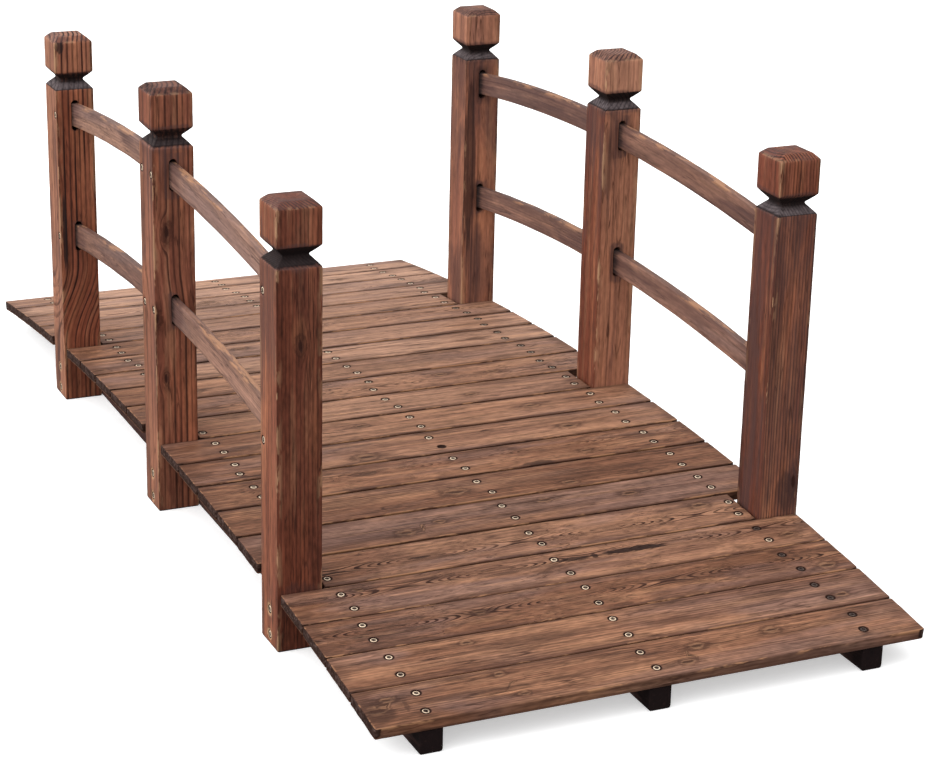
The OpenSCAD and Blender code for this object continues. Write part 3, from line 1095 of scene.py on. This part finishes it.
class Web:
    """Adds nodes to a tree and links them. A value that is a wire is linked, any other is set."""

    def __init__(self, tree):
        self.tree = tree
        self.count = 0

    def put(self, kind, feeds=None, **settings):
        node = self.tree.nodes.new(kind)
        node.location = (220 * (self.count // 5), -190 * (self.count % 5))
        self.count += 1
        for key, value in settings.items():
            setattr(node, key, value)
        for key, value in (feeds or {}).items():
            self.feed(node.inputs[key], value)
        return node

    def feed(self, socket, value):
        if isinstance(value, Wire):
            self.tree.links.new(value.socket, socket)
        else:
            socket.default_value = value

    def wire(self, kind, feeds=None, output=0, **settings):
        """Puts a node and gives one of its outputs."""
        return Wire(self, self.put(kind, feeds, **settings).outputs[output])

    def wires(self, node):
        """The named outputs of a node."""
        return {socket.name: Wire(self, socket) for socket in node.outputs if socket.name}

    def attribute(self, name, output="Vector"):
        return self.wire("ShaderNodeAttribute", output=output, attribute_name=name)

    def split(self, value, kind="ShaderNodeSeparateXYZ"):
        """The three numbers of a vector, or of a colour with the other kind."""
        return [Wire(self, socket) for socket in self.put(kind, {0: value}).outputs]

    def math(self, operation, a, b=0.0):
        return self.wire("ShaderNodeMath", {0: a, 1: b}, operation=operation)

    def ellipse(self, a, b, of_a=1.0, of_b=1.0):
        """Distance from zero, with a weight for the square of each number."""
        return self.math("SQRT", a * a * of_a + b * b * of_b)

    def rise(self, value, low, high, to_low=0.0, to_high=1.0):
        """The value mapped smoothly from low..high to to_low..to_high."""
        feeds = {"Value": value, "From Min": low, "From Max": high, "To Min": to_low, "To Max": to_high}
        return self.wire("ShaderNodeMapRange", feeds, interpolation_type="SMOOTHSTEP")

    def fall(self, value, low, high):
        """1 below low, 0 above high, smooth between them."""
        return self.rise(value, low, high, 1.0, 0.0)

    def cloud(self, grain, along, across, detail=2.0, roughness=0.5, distortion=0.0):
        """Noise from 0 to 1, with so many waves a metre along the grain and across it."""
        scale = (along, across, across)
        feeds = {
            "Vector": self.wire("ShaderNodeVectorMath", {0: grain, 1: scale}, operation="MULTIPLY"),
            "Scale": 1.0,
            "Detail": detail,
            "Roughness": roughness,
            "Distortion": distortion,
        }
        return self.wire("ShaderNodeTexNoise", feeds)

    def blend(self, factor, a, b, mode="MIX"):
        feeds = {0: factor, 6: a, 7: b}
        return self.wire("ShaderNodeMix", feeds, 2, data_type="RGBA", blend_type=mode, clamp_factor=True)

    def group(self, name, make, feeds):
        """Puts the node group of that name, which is made once, and gives its outputs."""
        tree = bpy.data.node_groups.get(name) or make(name)
        return self.wires(self.put("ShaderNodeGroup", feeds, node_tree=tree))


def new_group(name, inputs, outputs):
    """A node group with named sockets. An input whose default is None is a vector, the others are numbers."""
    tree = bpy.data.node_groups.new(name, "ShaderNodeTree")
    for label, default in inputs.items():
        kind = "NodeSocketVector" if default is None else "NodeSocketFloat"
        socket = tree.interface.new_socket(name=label, in_out="INPUT", socket_type=kind)
        if default is not None:
            socket.default_value = default
    for label in outputs:
        tree.interface.new_socket(name=label, in_out="OUTPUT", socket_type="NodeSocketFloat")
    web = Web(tree)
    return web, web.wires(web.put("NodeGroupInput"))


def growth_rings_group(name):
    """The tree's year rings, bent round its knots: where a point is late wood, and how dark its ring is."""
    inputs = {"Grain": None, "Knot": None, "Spacing": 0.003, "Drift": 0.006, "Wiggle": 0.0007}
    web, given = new_group(name, inputs, ("Late Wood", "Ring Tone", "Knot", "Knot Heart", "Knot Halo"))
    grain, spacing, wiggle = given["Grain"], given["Spacing"], given["Wiggle"]
    _, across, through = web.split(grain)
    radius = web.ellipse(across, through)
    slow = web.cloud(grain, 1.6, 7.0, detail=1.0)
    quick = web.cloud(grain, 12.0, 85.0)
    zigzag = web.cloud(grain, 60.0, 140.0, roughness=0.6)
    feeds = {"W": radius * 55.0, "Scale": 1.0, "Detail": 1.0}
    years = web.wire("ShaderNodeTexNoise", feeds, noise_dimensions="1D")
    bent = radius + (slow - 0.5) * (given["Drift"] * 2.0) + (quick - 0.5) * (wiggle * 2.0)
    bent = bent + (zigzag - 0.5) * wiggle + (years - 0.5) * 0.004
    # A knot pushes the rings aside, and lifts them a little where the board is cut flat.
    along, b, side = web.split(given["Knot"])
    a = along * 0.62
    near = web.math("ABSOLUTE", side)
    close = web.math("GREATER_THAN", near, 0.5)
    ragged = web.cloud(grain, 90.0, 230.0, detail=3.0, roughness=0.65) * 2.6 - 1.3
    push = web.math("EXPONENT", (a * a * 0.16 + b * b * 0.20) * -1.0)
    aside = b / web.math("SQRT", b * b + 0.5)
    bent = bent + aside * (push * side) * (spacing * -1.1) + push * near * spacing
    phase = bent / spacing
    part = web.math("FRACT", phase)
    ring = web.math("FLOOR", phase)
    distance = web.ellipse(a, b) + ragged
    slit = web.ellipse(a, b, 0.55, 2.4) + ragged * 0.5
    halo = web.rise(web.ellipse(a, b, 0.14) + ragged, 0.7, 2.0, 0.4, 0.0) * near
    rim = web.rise(distance, 0.95, 1.30) * web.fall(distance, 1.45, 1.90)
    feeds = {
        "Late Wood": web.rise(part, 0.46, 0.80) * web.fall(part, 0.93, 1.0),
        "Ring Tone": web.wire("ShaderNodeTexWhiteNoise", {"W": ring}, "Value", noise_dimensions="1D"),
        "Knot": web.fall(distance, 0.45, 1.35) * close,
        "Knot Heart": web.fall(slit, 0.40, 0.85) * close,
        "Knot Halo": halo + rim * close * 0.28,
    }
    return web.put("NodeGroupOutput", feeds).id_data


def scorch_group(name):
    """What a flame left: smoky patches, dark licks along the fibres, and char where the wood got hottest."""
    inputs = {"Grain": None, "Burn": None, "Heat": 0.0, "Late Wood": 0.0, "Cover": 0.3, "Licks": 0.5}
    web, given = new_group(name, inputs, ("Smoke", "Lick", "Char", "Burn", "Pale"))
    grain, heat = given["Grain"], given["Heat"]
    patch = web.cloud(grain, 4.5, 21.0, detail=4.0, roughness=0.6, distortion=0.8)
    streak = web.cloud(grain, 6.0, 210.0, detail=4.0, roughness=0.65)
    edge = 0.70 - given["Cover"] * 0.30
    smoke = web.rise(patch + heat * 0.9, edge, edge + 0.17)
    lick = web.cloud(grain, 10.0, 62.0, detail=4.0, roughness=0.66, distortion=0.5)
    lick = lick + (streak - 0.5) * 0.35 + (patch - 0.5) * 0.5
    ragged = web.cloud(grain, 24.0, 260.0, detail=3.0, roughness=0.6) * 0.8 - 0.4
    a, b, strength = web.split(given["Burn"])
    reach = web.ellipse(a, b) + (streak - 0.5) * 1.3 + (lick - 0.5) * 0.9
    feeds = {
        "Smoke": (smoke * (streak * 1.3 + given["Late Wood"] * 0.35)).clamped(),
        "Lick": (web.rise(lick, 0.585, 0.70) * given["Licks"]).clamped(),
        "Char": web.rise(heat + ragged * web.rise(heat, 0.2, 0.5), 0.34, 0.98),
        "Burn": (web.fall(reach, 0.80, 1.10) * strength).clamped(),
        "Pale": (web.fall(reach, 0.35, 1.30) * -1.0 * strength).clamped(),
    }
    return web.put("NodeGroupOutput", feeds).id_data


def wear_group(name):
    """Edges rubbed back to lighter wood, pale streaks and fine splits along the fibres, and the fibres."""
    inputs = {"Grain": None, "Arris": 0.0, "Edge Wear": 0.5, "Streaks": 0.3}
    web, given = new_group(name, inputs, ("Rubbed", "Streak", "Split", "Hair", "Fibre"))
    grain, arris = given["Grain"], given["Arris"]
    patch = web.cloud(grain, 14.0, 70.0, detail=4.0, roughness=0.68)
    bare = web.rise(patch + (arris - 1.0).clamped() * 0.25, 0.50, 0.58)
    streak = web.cloud(grain, 4.5, 75.0, detail=5.0, roughness=0.62, distortion=0.3)
    seam = web.math("ABSOLUTE", web.cloud(grain, 4.0, 80.0, detail=1.5) - 0.5)
    where = web.cloud(grain, 9.0, 31.0)
    hair = web.math("ABSOLUTE", web.cloud(grain, 9.0, 190.0) - 0.5)
    tufts = web.cloud(grain, 14.0, 55.0, detail=3.0, roughness=0.6)
    fleck = web.cloud(grain, 75.0, 270.0, detail=1.5, roughness=0.6)
    coarse = web.cloud(grain, 16.0, 300.0, roughness=0.6)
    broad = web.cloud(grain, 4.0, 120.0)
    feeds = {
        "Rubbed": ((arris * bare).clamped() * given["Edge Wear"]).clamped(),
        "Streak": (web.rise(streak, 0.53, 0.68) * given["Streaks"]).clamped(),
        "Split": web.fall(seam, 0.003, 0.014) * web.rise(where, 0.50, 0.62),
        "Hair": web.fall(hair, 0.006, 0.030) * web.rise(tufts, 0.46, 0.60),
        "Fibre": coarse * 0.35 + broad * 0.35 + fleck * 0.30,
    }
    return web.put("NodeGroupOutput", feeds).id_data


def opaque(colour):
    return tuple(colour) + (1.0,)


def new_material(name):
    """A material without nodes, and the web to put them in."""
    material = bpy.data.materials.new(name)
    material.use_nodes = True
    material.node_tree.nodes.clear()
    return material, Web(material.node_tree)


WoodLook = namedtuple(
    "WoodLook",
    "drift wiggle cover licks edge_wear streaks splits contrast fibre ash_grain gloss sheen fading bloom",
)


def wood_material(name, looks, stains, look):
    """Stained and scorched softwood, made once.

    stains are the names of its colours in the settings: pale, early, late, smoke, char, ash, rubbed and knot.
    look says how far the rings drift and wiggle, how much smoke and how many licks lie on it, how strong its
    rubbed edges, streaks, splits, rings, fibres and the grain of its ash are, how rough and how shiny it is,
    and how far it faded and bloomed."""
    if name in bpy.data.materials:
        return bpy.data.materials[name]
    material, web = new_material(name)
    colours = [opaque(getattr(looks, stain)) for stain in stains.split()]
    pale, early, late, smoke, char, ashen, rubbed, knotty = colours
    grain = web.attribute("grain")
    hot, arris, tone = web.split(web.attribute("marks", "Color"), "ShaderNodeSeparateColor")
    ash = (hot - 1.0).clamped()
    heat = web.math("MINIMUM", hot, 1.0)
    feeds = {"Grain": grain, "Knot": web.attribute("knot"), "Spacing": web.attribute("ring", "Fac")}
    feeds.update({"Drift": look.drift, "Wiggle": look.wiggle})
    rings = web.group("Growth Rings", growth_rings_group, feeds)
    feeds = {"Grain": grain, "Burn": web.attribute("burn"), "Heat": heat, "Late Wood": rings["Late Wood"]}
    feeds.update({"Cover": look.cover, "Licks": look.licks})
    scorch = web.group("Scorch", scorch_group, feeds)
    feeds = {"Grain": grain, "Arris": arris, "Edge Wear": look.edge_wear, "Streaks": look.streaks}
    worn = web.group("Rubbed Wood", wear_group, feeds)
    fibre = worn["Fibre"] - 0.5
    # The flame left the wood pale in some places and brown in others.
    mottle = web.cloud(grain, 3.4, 19.0, detail=4.0, roughness=0.6, distortion=0.5)
    streaky = web.cloud(grain, 1.7, 62.0, detail=4.0, roughness=0.58)
    lift = mottle * 0.5 + streaky * 0.5 - 0.10 + tone * 0.20
    colour = web.blend(web.rise(lift, 0.39, 0.66), early, pale)
    colour = web.blend(scorch["Pale"] * 0.8, colour, pale)
    # High tone greys the wood towards faded: weathering, and on the posts' paler Y faces and the far boards
    # also painted sheen.
    colour = web.blend(web.rise(tone, 0.4, 1.1, 0.0, look.fading), colour, opaque(looks.faded))
    bloomed = web.cloud(grain, 2.6, 13.0, detail=3.0, roughness=0.6, distortion=0.4)
    colour = web.blend(web.rise(bloomed, 0.47, 0.66, 0.0, look.bloom), colour, opaque(looks.bloom))
    colour = web.blend(worn["Streak"], colour, rubbed)
    # The year rings and the fibres.
    clear = web.rise(web.cloud(grain, 5.0, 60.0), 0.34, 0.60, 0.45, 1.0)
    line = rings["Late Wood"] * (rings["Ring Tone"] * 0.5 + 0.5) * (clear * web.attribute("marks", "Alpha"))
    colour = web.blend(line * look.contrast, colour, late)
    # Tone lightens or darkens the wood: a tone that differs at random, and painted light where the pieces set
    # it.
    gain = tone * 0.42 + 0.74 + fibre * look.fibre
    grey = web.wire("ShaderNodeCombineColor", {0: gain, 1: gain, 2: gain})
    colour = web.blend(1.0, colour, grey, mode="MULTIPLY")
    colour = web.blend(worn["Hair"] * 0.7, colour, late)
    colour = web.blend(rings["Knot"] * 0.8, colour, knotty)
    colour = web.blend(rings["Knot Halo"], colour, late)
    # Smoke, burnt spots, licks and splits, and last the char with its ash and the bare edges.
    colour = web.blend(scorch["Smoke"] * 0.8, colour, smoke)
    colour = web.blend(scorch["Burn"] * 0.95, colour, web.blend(scorch["Burn"], smoke, char))
    colour = web.blend(rings["Knot Heart"] * 0.9, colour, late)
    colour = web.blend(scorch["Lick"] * 0.8, colour, char)
    colour = web.blend(worn["Split"] * look.splits, colour, late)
    colour = web.blend(arris * 0.35, colour, late)
    ashy = ash * (fibre * look.ash_grain + (1.0 - 0.05 * look.ash_grain))
    burnt = web.blend(rings["Late Wood"] * 0.4, web.blend(ashy, char, ashen), char)
    colour = web.blend(scorch["Char"] * 0.94, colour, burnt)
    colour = web.blend(worn["Rubbed"] * web.fall(heat, 0.5, 0.9), colour, rubbed)
    rough = line * 0.10 + look.gloss + scorch["Char"] * 0.25
    height = line * 0.5 + worn["Fibre"] * 1.2 - rings["Knot Heart"] * 1.2 - worn["Split"]
    bump = web.wire("ShaderNodeBump", {"Height": height, "Strength": 0.7, "Distance": 0.0005})
    feeds = {"Base Color": colour, "Roughness": rough, "Normal": bump, "Specular IOR Level": look.sheen}
    web.put("ShaderNodeOutputMaterial", {"Surface": web.wire("ShaderNodeBsdfPrincipled", feeds)})
    return material


def deck_wood(looks):
    stains = "deck_pale deck_early deck_late deck_smoke deck_char deck_ash deck_rubbed knot"
    look = WoodLook(
        drift=0.003, wiggle=0.0006, cover=0.55, licks=0.5, edge_wear=0.6, streaks=0.30, splits=0.8,
        contrast=0.90, fibre=3.6, ash_grain=11.0, gloss=0.58, sheen=0.12, fading=0.65, bloom=0.55,
    )
    return wood_material("Deck Stain", looks, stains, look)


def post_wood(looks):
    stains = "post_pale post_early post_late smoke char ash post_rubbed post_knot"
    look = WoodLook(
        drift=0.004, wiggle=0.0004, cover=0.15, licks=0.15, edge_wear=0.6, streaks=0.15, splits=0.45,
        contrast=0.95, fibre=2.7, ash_grain=4.0, gloss=0.50, sheen=0.16, fading=0.38, bloom=0.10,
    )
    return wood_material("Post Stain", looks, stains, look)


def rail_wood(looks):
    stains = "rail_pale rail_early rail_late smoke char ash deck_rubbed knot"
    look = WoodLook(
        drift=0.003, wiggle=0.0004, cover=0.50, licks=0.12, edge_wear=0.6, streaks=0.15, splits=0.4,
        contrast=0.65, fibre=2.6, ash_grain=4.0, gloss=0.50, sheen=0.25, fading=0.40, bloom=0.70,
    )
    return wood_material("Rail Stain", looks, stains, look)


def stringer_wood(looks):
    stains = "stringer_early stringer_early stringer_late smoke char ash post_rubbed knot"
    look = WoodLook(
        drift=0.006, wiggle=0.0008, cover=0.8, licks=0.8, edge_wear=0.2, streaks=0.1, splits=0.6,
        contrast=0.7, fibre=3.6, ash_grain=4.0, gloss=0.6, sheen=0.06, fading=0.0, bloom=0.0,
    )
    return wood_material("Stringer Stain", looks, stains, look)


# Dark brown for the painted shade in the screws' recesses and round their rims, and for darker screws.
SCREW_SHADE_AND_DARKENING = (0.032, 0.015, 0.010, 1.0)


def screw_metal(looks):
    """Bright plated steel with painted shade in its recess and round its rim, made once."""
    name = "Plated Screw"
    if name in bpy.data.materials:
        return bpy.data.materials[name]
    material, web = new_material(name)
    dark, _, _ = web.split(web.attribute("marks", "Color"), "ShaderNodeSeparateColor")
    place = web.wire("ShaderNodeTexCoord", output="Object")
    smear = web.cloud(place, 420.0, 420.0, detail=3.0)
    # The mask is painted shade in the recess and round the rim, plus the darkening of whole screws.
    darkening = web.rise(dark + (smear * 0.8 - 0.4), 0.25, 0.85)
    feeds = {
        "Base Color": web.blend(darkening, opaque(looks.screw), SCREW_SHADE_AND_DARKENING),
        "Metallic": 0.15 - darkening * 0.15,
        "Roughness": darkening * 0.3 + 0.38,
    }
    web.put("ShaderNodeOutputMaterial", {"Surface": web.wire("ShaderNodeBsdfPrincipled", feeds)})
    return material


# The settings


def colour(name, value, words):
    options = {"subtype": "COLOR", "size": 3, "min": 0, "max": 1}
    return FloatVectorProperty(name=name, default=value, description=words, **options)


def length(name, value, words):
    return FloatProperty(name=name, unit="LENGTH", default=value, description=words)


def angle(name, degrees, words):
    return FloatProperty(name=name, subtype="ANGLE", default=math.radians(degrees), description=words)


def amount(name, value, words, **options):
    return FloatProperty(name=name, default=value, min=0, description=words, **options)


def direction(name, value, words, **options):
    return FloatVectorProperty(name=name, subtype="XYZ", size=3, default=value, description=words, **options)


class BridgeSizes(bpy.types.PropertyGroup):
    """How far the wood is worn from the shape that the solids have."""

    board_ease: length("Board edge", 0.0012, "Radius of the eased edges of a deck board")
    post_ease: length("Post edge", 0.0012, "Radius of the upright edges of a post")
    rail_ease: length("Rail edge", 0.0018, "Radius of the edges of a rail")
    edge_wear: length("Edge wear", 0.0006, "Most that an edge is worn back")
    end_wear: length("Rough ends", 0.0007, "Most that a saw left a board's end uneven")
    face_wear: length("Face wear", 0.0004, "Most that a face dips below flat")


class BridgeLooks(bpy.types.PropertyGroup):
    """Colours of the stain, the scorch marks and the bare wood."""

    deck_pale: colour("Deck pale wood", (0.370, 0.180, 0.100), "Deck wood that the flame browned least")
    deck_early: colour("Deck early wood", (0.200, 0.086, 0.048), "Stain on the soft part of a deck ring")
    deck_late: colour("Deck late wood", (0.042, 0.016, 0.010), "Stain on the hard part of a deck ring")
    deck_rubbed: colour("Deck rubbed wood", (0.47, 0.235, 0.120), "Wood rubbed bare on deck and rails")
    post_pale: colour("Post pale wood", (0.345, 0.122, 0.060), "Post wood that the flame browned least")
    post_early: colour("Post early wood", (0.190, 0.052, 0.028), "Stain on the soft part of a post's ring")
    post_late: colour("Post late wood", (0.030, 0.009, 0.006), "Stain on the hard part of a post's ring")
    post_rubbed: colour("Post rubbed wood", (0.58, 0.340, 0.190), "Wood rubbed bare on the posts")
    rail_pale: colour("Rail pale wood", (0.320, 0.165, 0.115), "Rail wood that the flame browned least")
    rail_early: colour("Rail early wood", (0.190, 0.094, 0.068), "Stain on the soft part of a rail's ring")
    rail_late: colour("Rail late wood", (0.060, 0.027, 0.021), "Stain on the hard part of a rail's ring")
    stringer_early: colour("Stringer early wood", (0.060, 0.026, 0.018), "Soft part of a stringer's ring")
    stringer_late: colour("Stringer late wood", (0.022, 0.011, 0.009), "Hard part of a stringer's ring")
    smoke: colour("Smoke", (0.084, 0.041, 0.037), "Wood that a flame has darkened")
    deck_smoke: colour("Deck smoke", (0.090, 0.040, 0.026), "Deck wood that a flame has darkened")
    char: colour("Char", (0.009, 0.006, 0.0065), "Wood that is burnt black")
    deck_char: colour("Deck char", (0.018, 0.007, 0.0045), "Deck wood that is burnt black")
    ash: colour("Ash", (0.110, 0.090, 0.095), "Ash on burnt wood")
    deck_ash: colour("Deck ash", (0.110, 0.070, 0.062), "Rough fibres on the burnt ends of the boards")
    faded: colour("Faded wood", (0.385, 0.238, 0.172), "Wood that weather and light have greyed")
    bloom: colour("Grey bloom", (0.185, 0.112, 0.098), "Greyed patches of the stain")
    knot: colour("Knot", (0.420, 0.220, 0.120), "Wood of a knot in the deck")
    post_knot: colour("Post knot", (0.085, 0.028, 0.018), "Wood of a knot in a post")
    screw: colour("Screw", (0.86, 0.66, 0.47), "Plating of the screws")


class BridgeStudio(bpy.types.PropertyGroup):
    """The camera, the light and the floor."""

    camera_at: direction("Camera", (2.8565, -1.1856, 1.2153), "Where the camera stands", unit="LENGTH")
    azimuth: angle("Azimuth", 65.73, "Direction of the camera round the bridge")
    elevation: angle("Elevation", 19.37, "Height of the camera as an angle")
    roll: angle("Roll", 1.27, "Turn of the camera about its view")
    lens: amount("Lens", 96.27, "Focal length for the sensor's width", subtype="DISTANCE_CAMERA")
    sensor: amount("Sensor", 36.0, "Width of the camera's sensor", subtype="DISTANCE_CAMERA")
    room_light: amount("Room light", 0.58, "Strength of the light from all round")
    bright_light: amount("Bright side", 1.2, "Strength that the bright side of the room adds")
    bright_side: direction("Bright way", (0.12, -0.72, 0.68), "Way to the bright side of the room")
    floor_glow: amount("Floor glow", 0.25, "How much of the room's light comes back from below", max=1)
    floor_lift: amount("Floor lift", 0.45, "Light that the floor gives off, which softens the shadow on it")
    floor_half: length("Floor", 30.0, "Distance from the bridge to each edge of the floor")
    side_light: amount("Side light", 90.0, "Power of the soft light on the left", unit="POWER")
    side_light_at: direction("Side light at", (0.7, -4.4, 3.2), "Where the soft light hangs", unit="LENGTH")
    side_light_to: direction("Side light to", (0, 0, 0.2), "What the soft light points at", unit="LENGTH")
    side_light_wide: length("Side light width", 3.0, "Width of the soft light")
    side_light_high: length("Side light height", 2.4, "Height of the soft light")
    floor: colour("Floor", (0.86, 0.86, 0.86), "Colour of the floor")


class BridgeSettings(bpy.types.PropertyGroup):
    """All settings of the dressed bridge."""

    sizes: PointerProperty(type=BridgeSizes)
    looks: PointerProperty(type=BridgeLooks)
    studio: PointerProperty(type=BridgeStudio)


# The stage


def build_floor(studio):
    half = studio.floor_half
    mesh = bpy.data.meshes.new("floor")
    corners = [(-half, -half, 0), (half, -half, 0), (half, half, 0), (-half, half, 0)]
    mesh.from_pydata(corners, [], [(0, 1, 2, 3)])
    floor = bpy.data.objects.new("floor", mesh)
    bpy.context.scene.collection.objects.link(floor)
    material = bpy.data.materials.new("Studio Floor")
    material.use_nodes = True
    shader = material.node_tree.nodes["Principled BSDF"]
    shader.inputs["Base Color"].default_value = opaque(studio.floor)
    shader.inputs["Roughness"].default_value = 0.9
    shader.inputs["Specular IOR Level"].default_value = 0.1
    shader.inputs["Emission Color"].default_value = (1.0, 1.0, 1.0, 1.0)
    shader.inputs["Emission Strength"].default_value = studio.floor_lift
    mesh.materials.append(material)
    # The room's own light from below stands in for what the floor would throw back.
    floor.visible_diffuse = False
    floor.visible_glossy = False


def build_room(scene, studio):
    """A soft room that is brightest on the left and above, and dim towards the front and from the floor."""
    world = bpy.data.worlds.new("Studio")
    scene.world = world
    world.use_nodes = True
    world.node_tree.nodes.clear()
    web = Web(world.node_tree)
    way = web.wire("ShaderNodeTexCoord", output="Generated")
    toward = tuple(Vector(studio.bright_side).normalized())
    facing = web.wire("ShaderNodeVectorMath", {0: way, 1: toward}, "Value", operation="DOT_PRODUCT")
    height = web.split(way)[2]
    room = web.rise(facing, -0.35, 1.0) * studio.bright_light + studio.room_light
    strength = room * web.rise(height, -0.12, 0.02, studio.floor_glow, 1.0)
    background = web.wire("ShaderNodeBackground", {"Color": (1.0, 1.0, 1.0, 1.0), "Strength": strength})
    web.put("ShaderNodeOutputWorld", {"Surface": background})


def build_side_light(scene, studio):
    """A large soft light above the left railing."""
    lamp = bpy.data.lights.new("side_light", "AREA")
    lamp.shape = "RECTANGLE"
    lamp.size = studio.side_light_wide
    lamp.size_y = studio.side_light_high
    lamp.energy = studio.side_light
    light = bpy.data.objects.new("side_light", lamp)
    scene.collection.objects.link(light)
    at, to = Vector(studio.side_light_at), Vector(studio.side_light_to)
    light.location = at
    light.rotation_euler = (to - at).to_track_quat("-Z", "Y").to_euler()


def build_camera(scene, studio):
    """The camera of the picture: where it stands, where it looks and how it is turned."""
    az, el, roll = studio.azimuth, studio.elevation, studio.roll
    right = Vector((math.cos(az), math.sin(az), 0))
    back = Vector((math.sin(az) * math.cos(el), -math.cos(az) * math.cos(el), math.sin(el)))
    up = back.cross(right)
    tilted_right = right * math.cos(roll) + up * math.sin(roll)
    tilted_up = up * math.cos(roll) - right * math.sin(roll)
    lens = bpy.data.cameras.new("camera")
    lens.sensor_width = studio.sensor
    lens.lens = studio.lens
    lens.clip_end = 100.0
    camera = bpy.data.objects.new("camera", lens)
    scene.collection.objects.link(camera)
    turn = Matrix((tilted_right, tilted_up, back)).transposed().to_4x4()
    camera.matrix_world = Matrix.Translation(studio.camera_at) @ turn
    scene.camera = camera
    scene.view_settings.view_transform = "Standard"


# The operators


def build_each(context, build, names, wood):
    """Builds the named pieces in one wood."""
    settings = context.scene.moon_bridge
    material = wood(settings.looks)
    for name in names:
        build(name, settings.sizes, material)
    return {"FINISHED"}


class BRIDGE_OT_deck_boards(bpy.types.Operator):
    """Build the deck boards"""

    bl_idname = "bridge.deck_boards"
    bl_label = "Deck boards"

    def execute(self, context):
        return build_each(context, build_board, range(1, BOARDS + 1), deck_wood)


class BRIDGE_OT_posts(bpy.types.Operator):
    """Build the posts with their block caps and mortises"""

    bl_idname = "bridge.posts"
    bl_label = "Posts"

    def execute(self, context):
        return build_each(context, build_post, POSTS, post_wood)


class BRIDGE_OT_rails(bpy.types.Operator):
    """Build the arched rails"""

    bl_idname = "bridge.rails"
    bl_label = "Rails"

    def execute(self, context):
        return build_each(context, build_rail, RAILS, rail_wood)


class BRIDGE_OT_stringers(bpy.types.Operator):
    """Build the stringers under the deck"""

    bl_idname = "bridge.stringers"
    bl_label = "Stringers"

    def execute(self, context):
        names = [f"{row}_stringer" for row in ROWS]
        return build_each(context, build_stringer, names, stringer_wood)


class BRIDGE_OT_deck_screws(bpy.types.Operator):
    """Build the screws of the deck, a piece for each row"""

    bl_idname = "bridge.deck_screws"
    bl_label = "Deck screws"

    def execute(self, context):
        material = screw_metal(context.scene.moon_bridge.looks)
        for row, name in enumerate(ROWS):
            build_screws(f"{name}_deck_screws", deck_screw_places(row), material)
        return {"FINISHED"}


class BRIDGE_OT_post_screws(bpy.types.Operator):
    """Build the screws in the outer faces of the posts"""

    bl_idname = "bridge.post_screws"
    bl_label = "Post screws"

    def execute(self, context):
        material = screw_metal(context.scene.moon_bridge.looks)
        for side, out in (("left", -1), ("right", 1)):
            build_screws(f"{side}_post_screws", post_screw_places(side, out), material)
        return {"FINISHED"}


class BRIDGE_OT_studio(bpy.types.Operator):
    """Build the floor, the lights and the camera"""

    bl_idname = "bridge.studio"
    bl_label = "Studio"

    def execute(self, context):
        studio = context.scene.moon_bridge.studio
        build_floor(studio)
        build_room(context.scene, studio)
        build_side_light(context.scene, studio)
        build_camera(context.scene, studio)
        return {"FINISHED"}


PIECE_OPERATORS = (
    BRIDGE_OT_deck_boards,
    BRIDGE_OT_posts,
    BRIDGE_OT_rails,
    BRIDGE_OT_stringers,
    BRIDGE_OT_deck_screws,
    BRIDGE_OT_post_screws,
    BRIDGE_OT_studio,
)


class BRIDGE_PT_panel(bpy.types.Panel):
    """Lists the pieces of the bridge and its settings"""

    bl_idname = "BRIDGE_PT_panel"
    bl_label = "Moon Bridge"
    bl_space_type = "VIEW_3D"
    bl_region_type = "UI"
    bl_category = "Moon Bridge"

    def draw(self, context):
        settings = context.scene.moon_bridge
        for operator in PIECE_OPERATORS:
            self.layout.operator(operator.bl_idname)
        for group in (settings.sizes, settings.looks, settings.studio):
            column = self.layout.column()
            for name in group.__annotations__:
                column.prop(group, name)


CLASSES = (BridgeSizes, BridgeLooks, BridgeStudio, BridgeSettings, *PIECE_OPERATORS, BRIDGE_PT_panel)


def register():
    for c in CLASSES:
        bpy.utils.register_class(c)
    bpy.types.Scene.moon_bridge = PointerProperty(type=BridgeSettings)


def unregister():
    del bpy.types.Scene.moon_bridge
    for c in reversed(CLASSES):
        bpy.utils.unregister_class(c)


def main():
    register()
    bpy.ops.bridge.deck_boards()
    bpy.ops.bridge.posts()
    bpy.ops.bridge.rails()
    bpy.ops.bridge.stringers()
    bpy.ops.bridge.deck_screws()
    bpy.ops.bridge.post_screws()
    bpy.ops.bridge.studio()


if __name__ == "__main__":
    main()
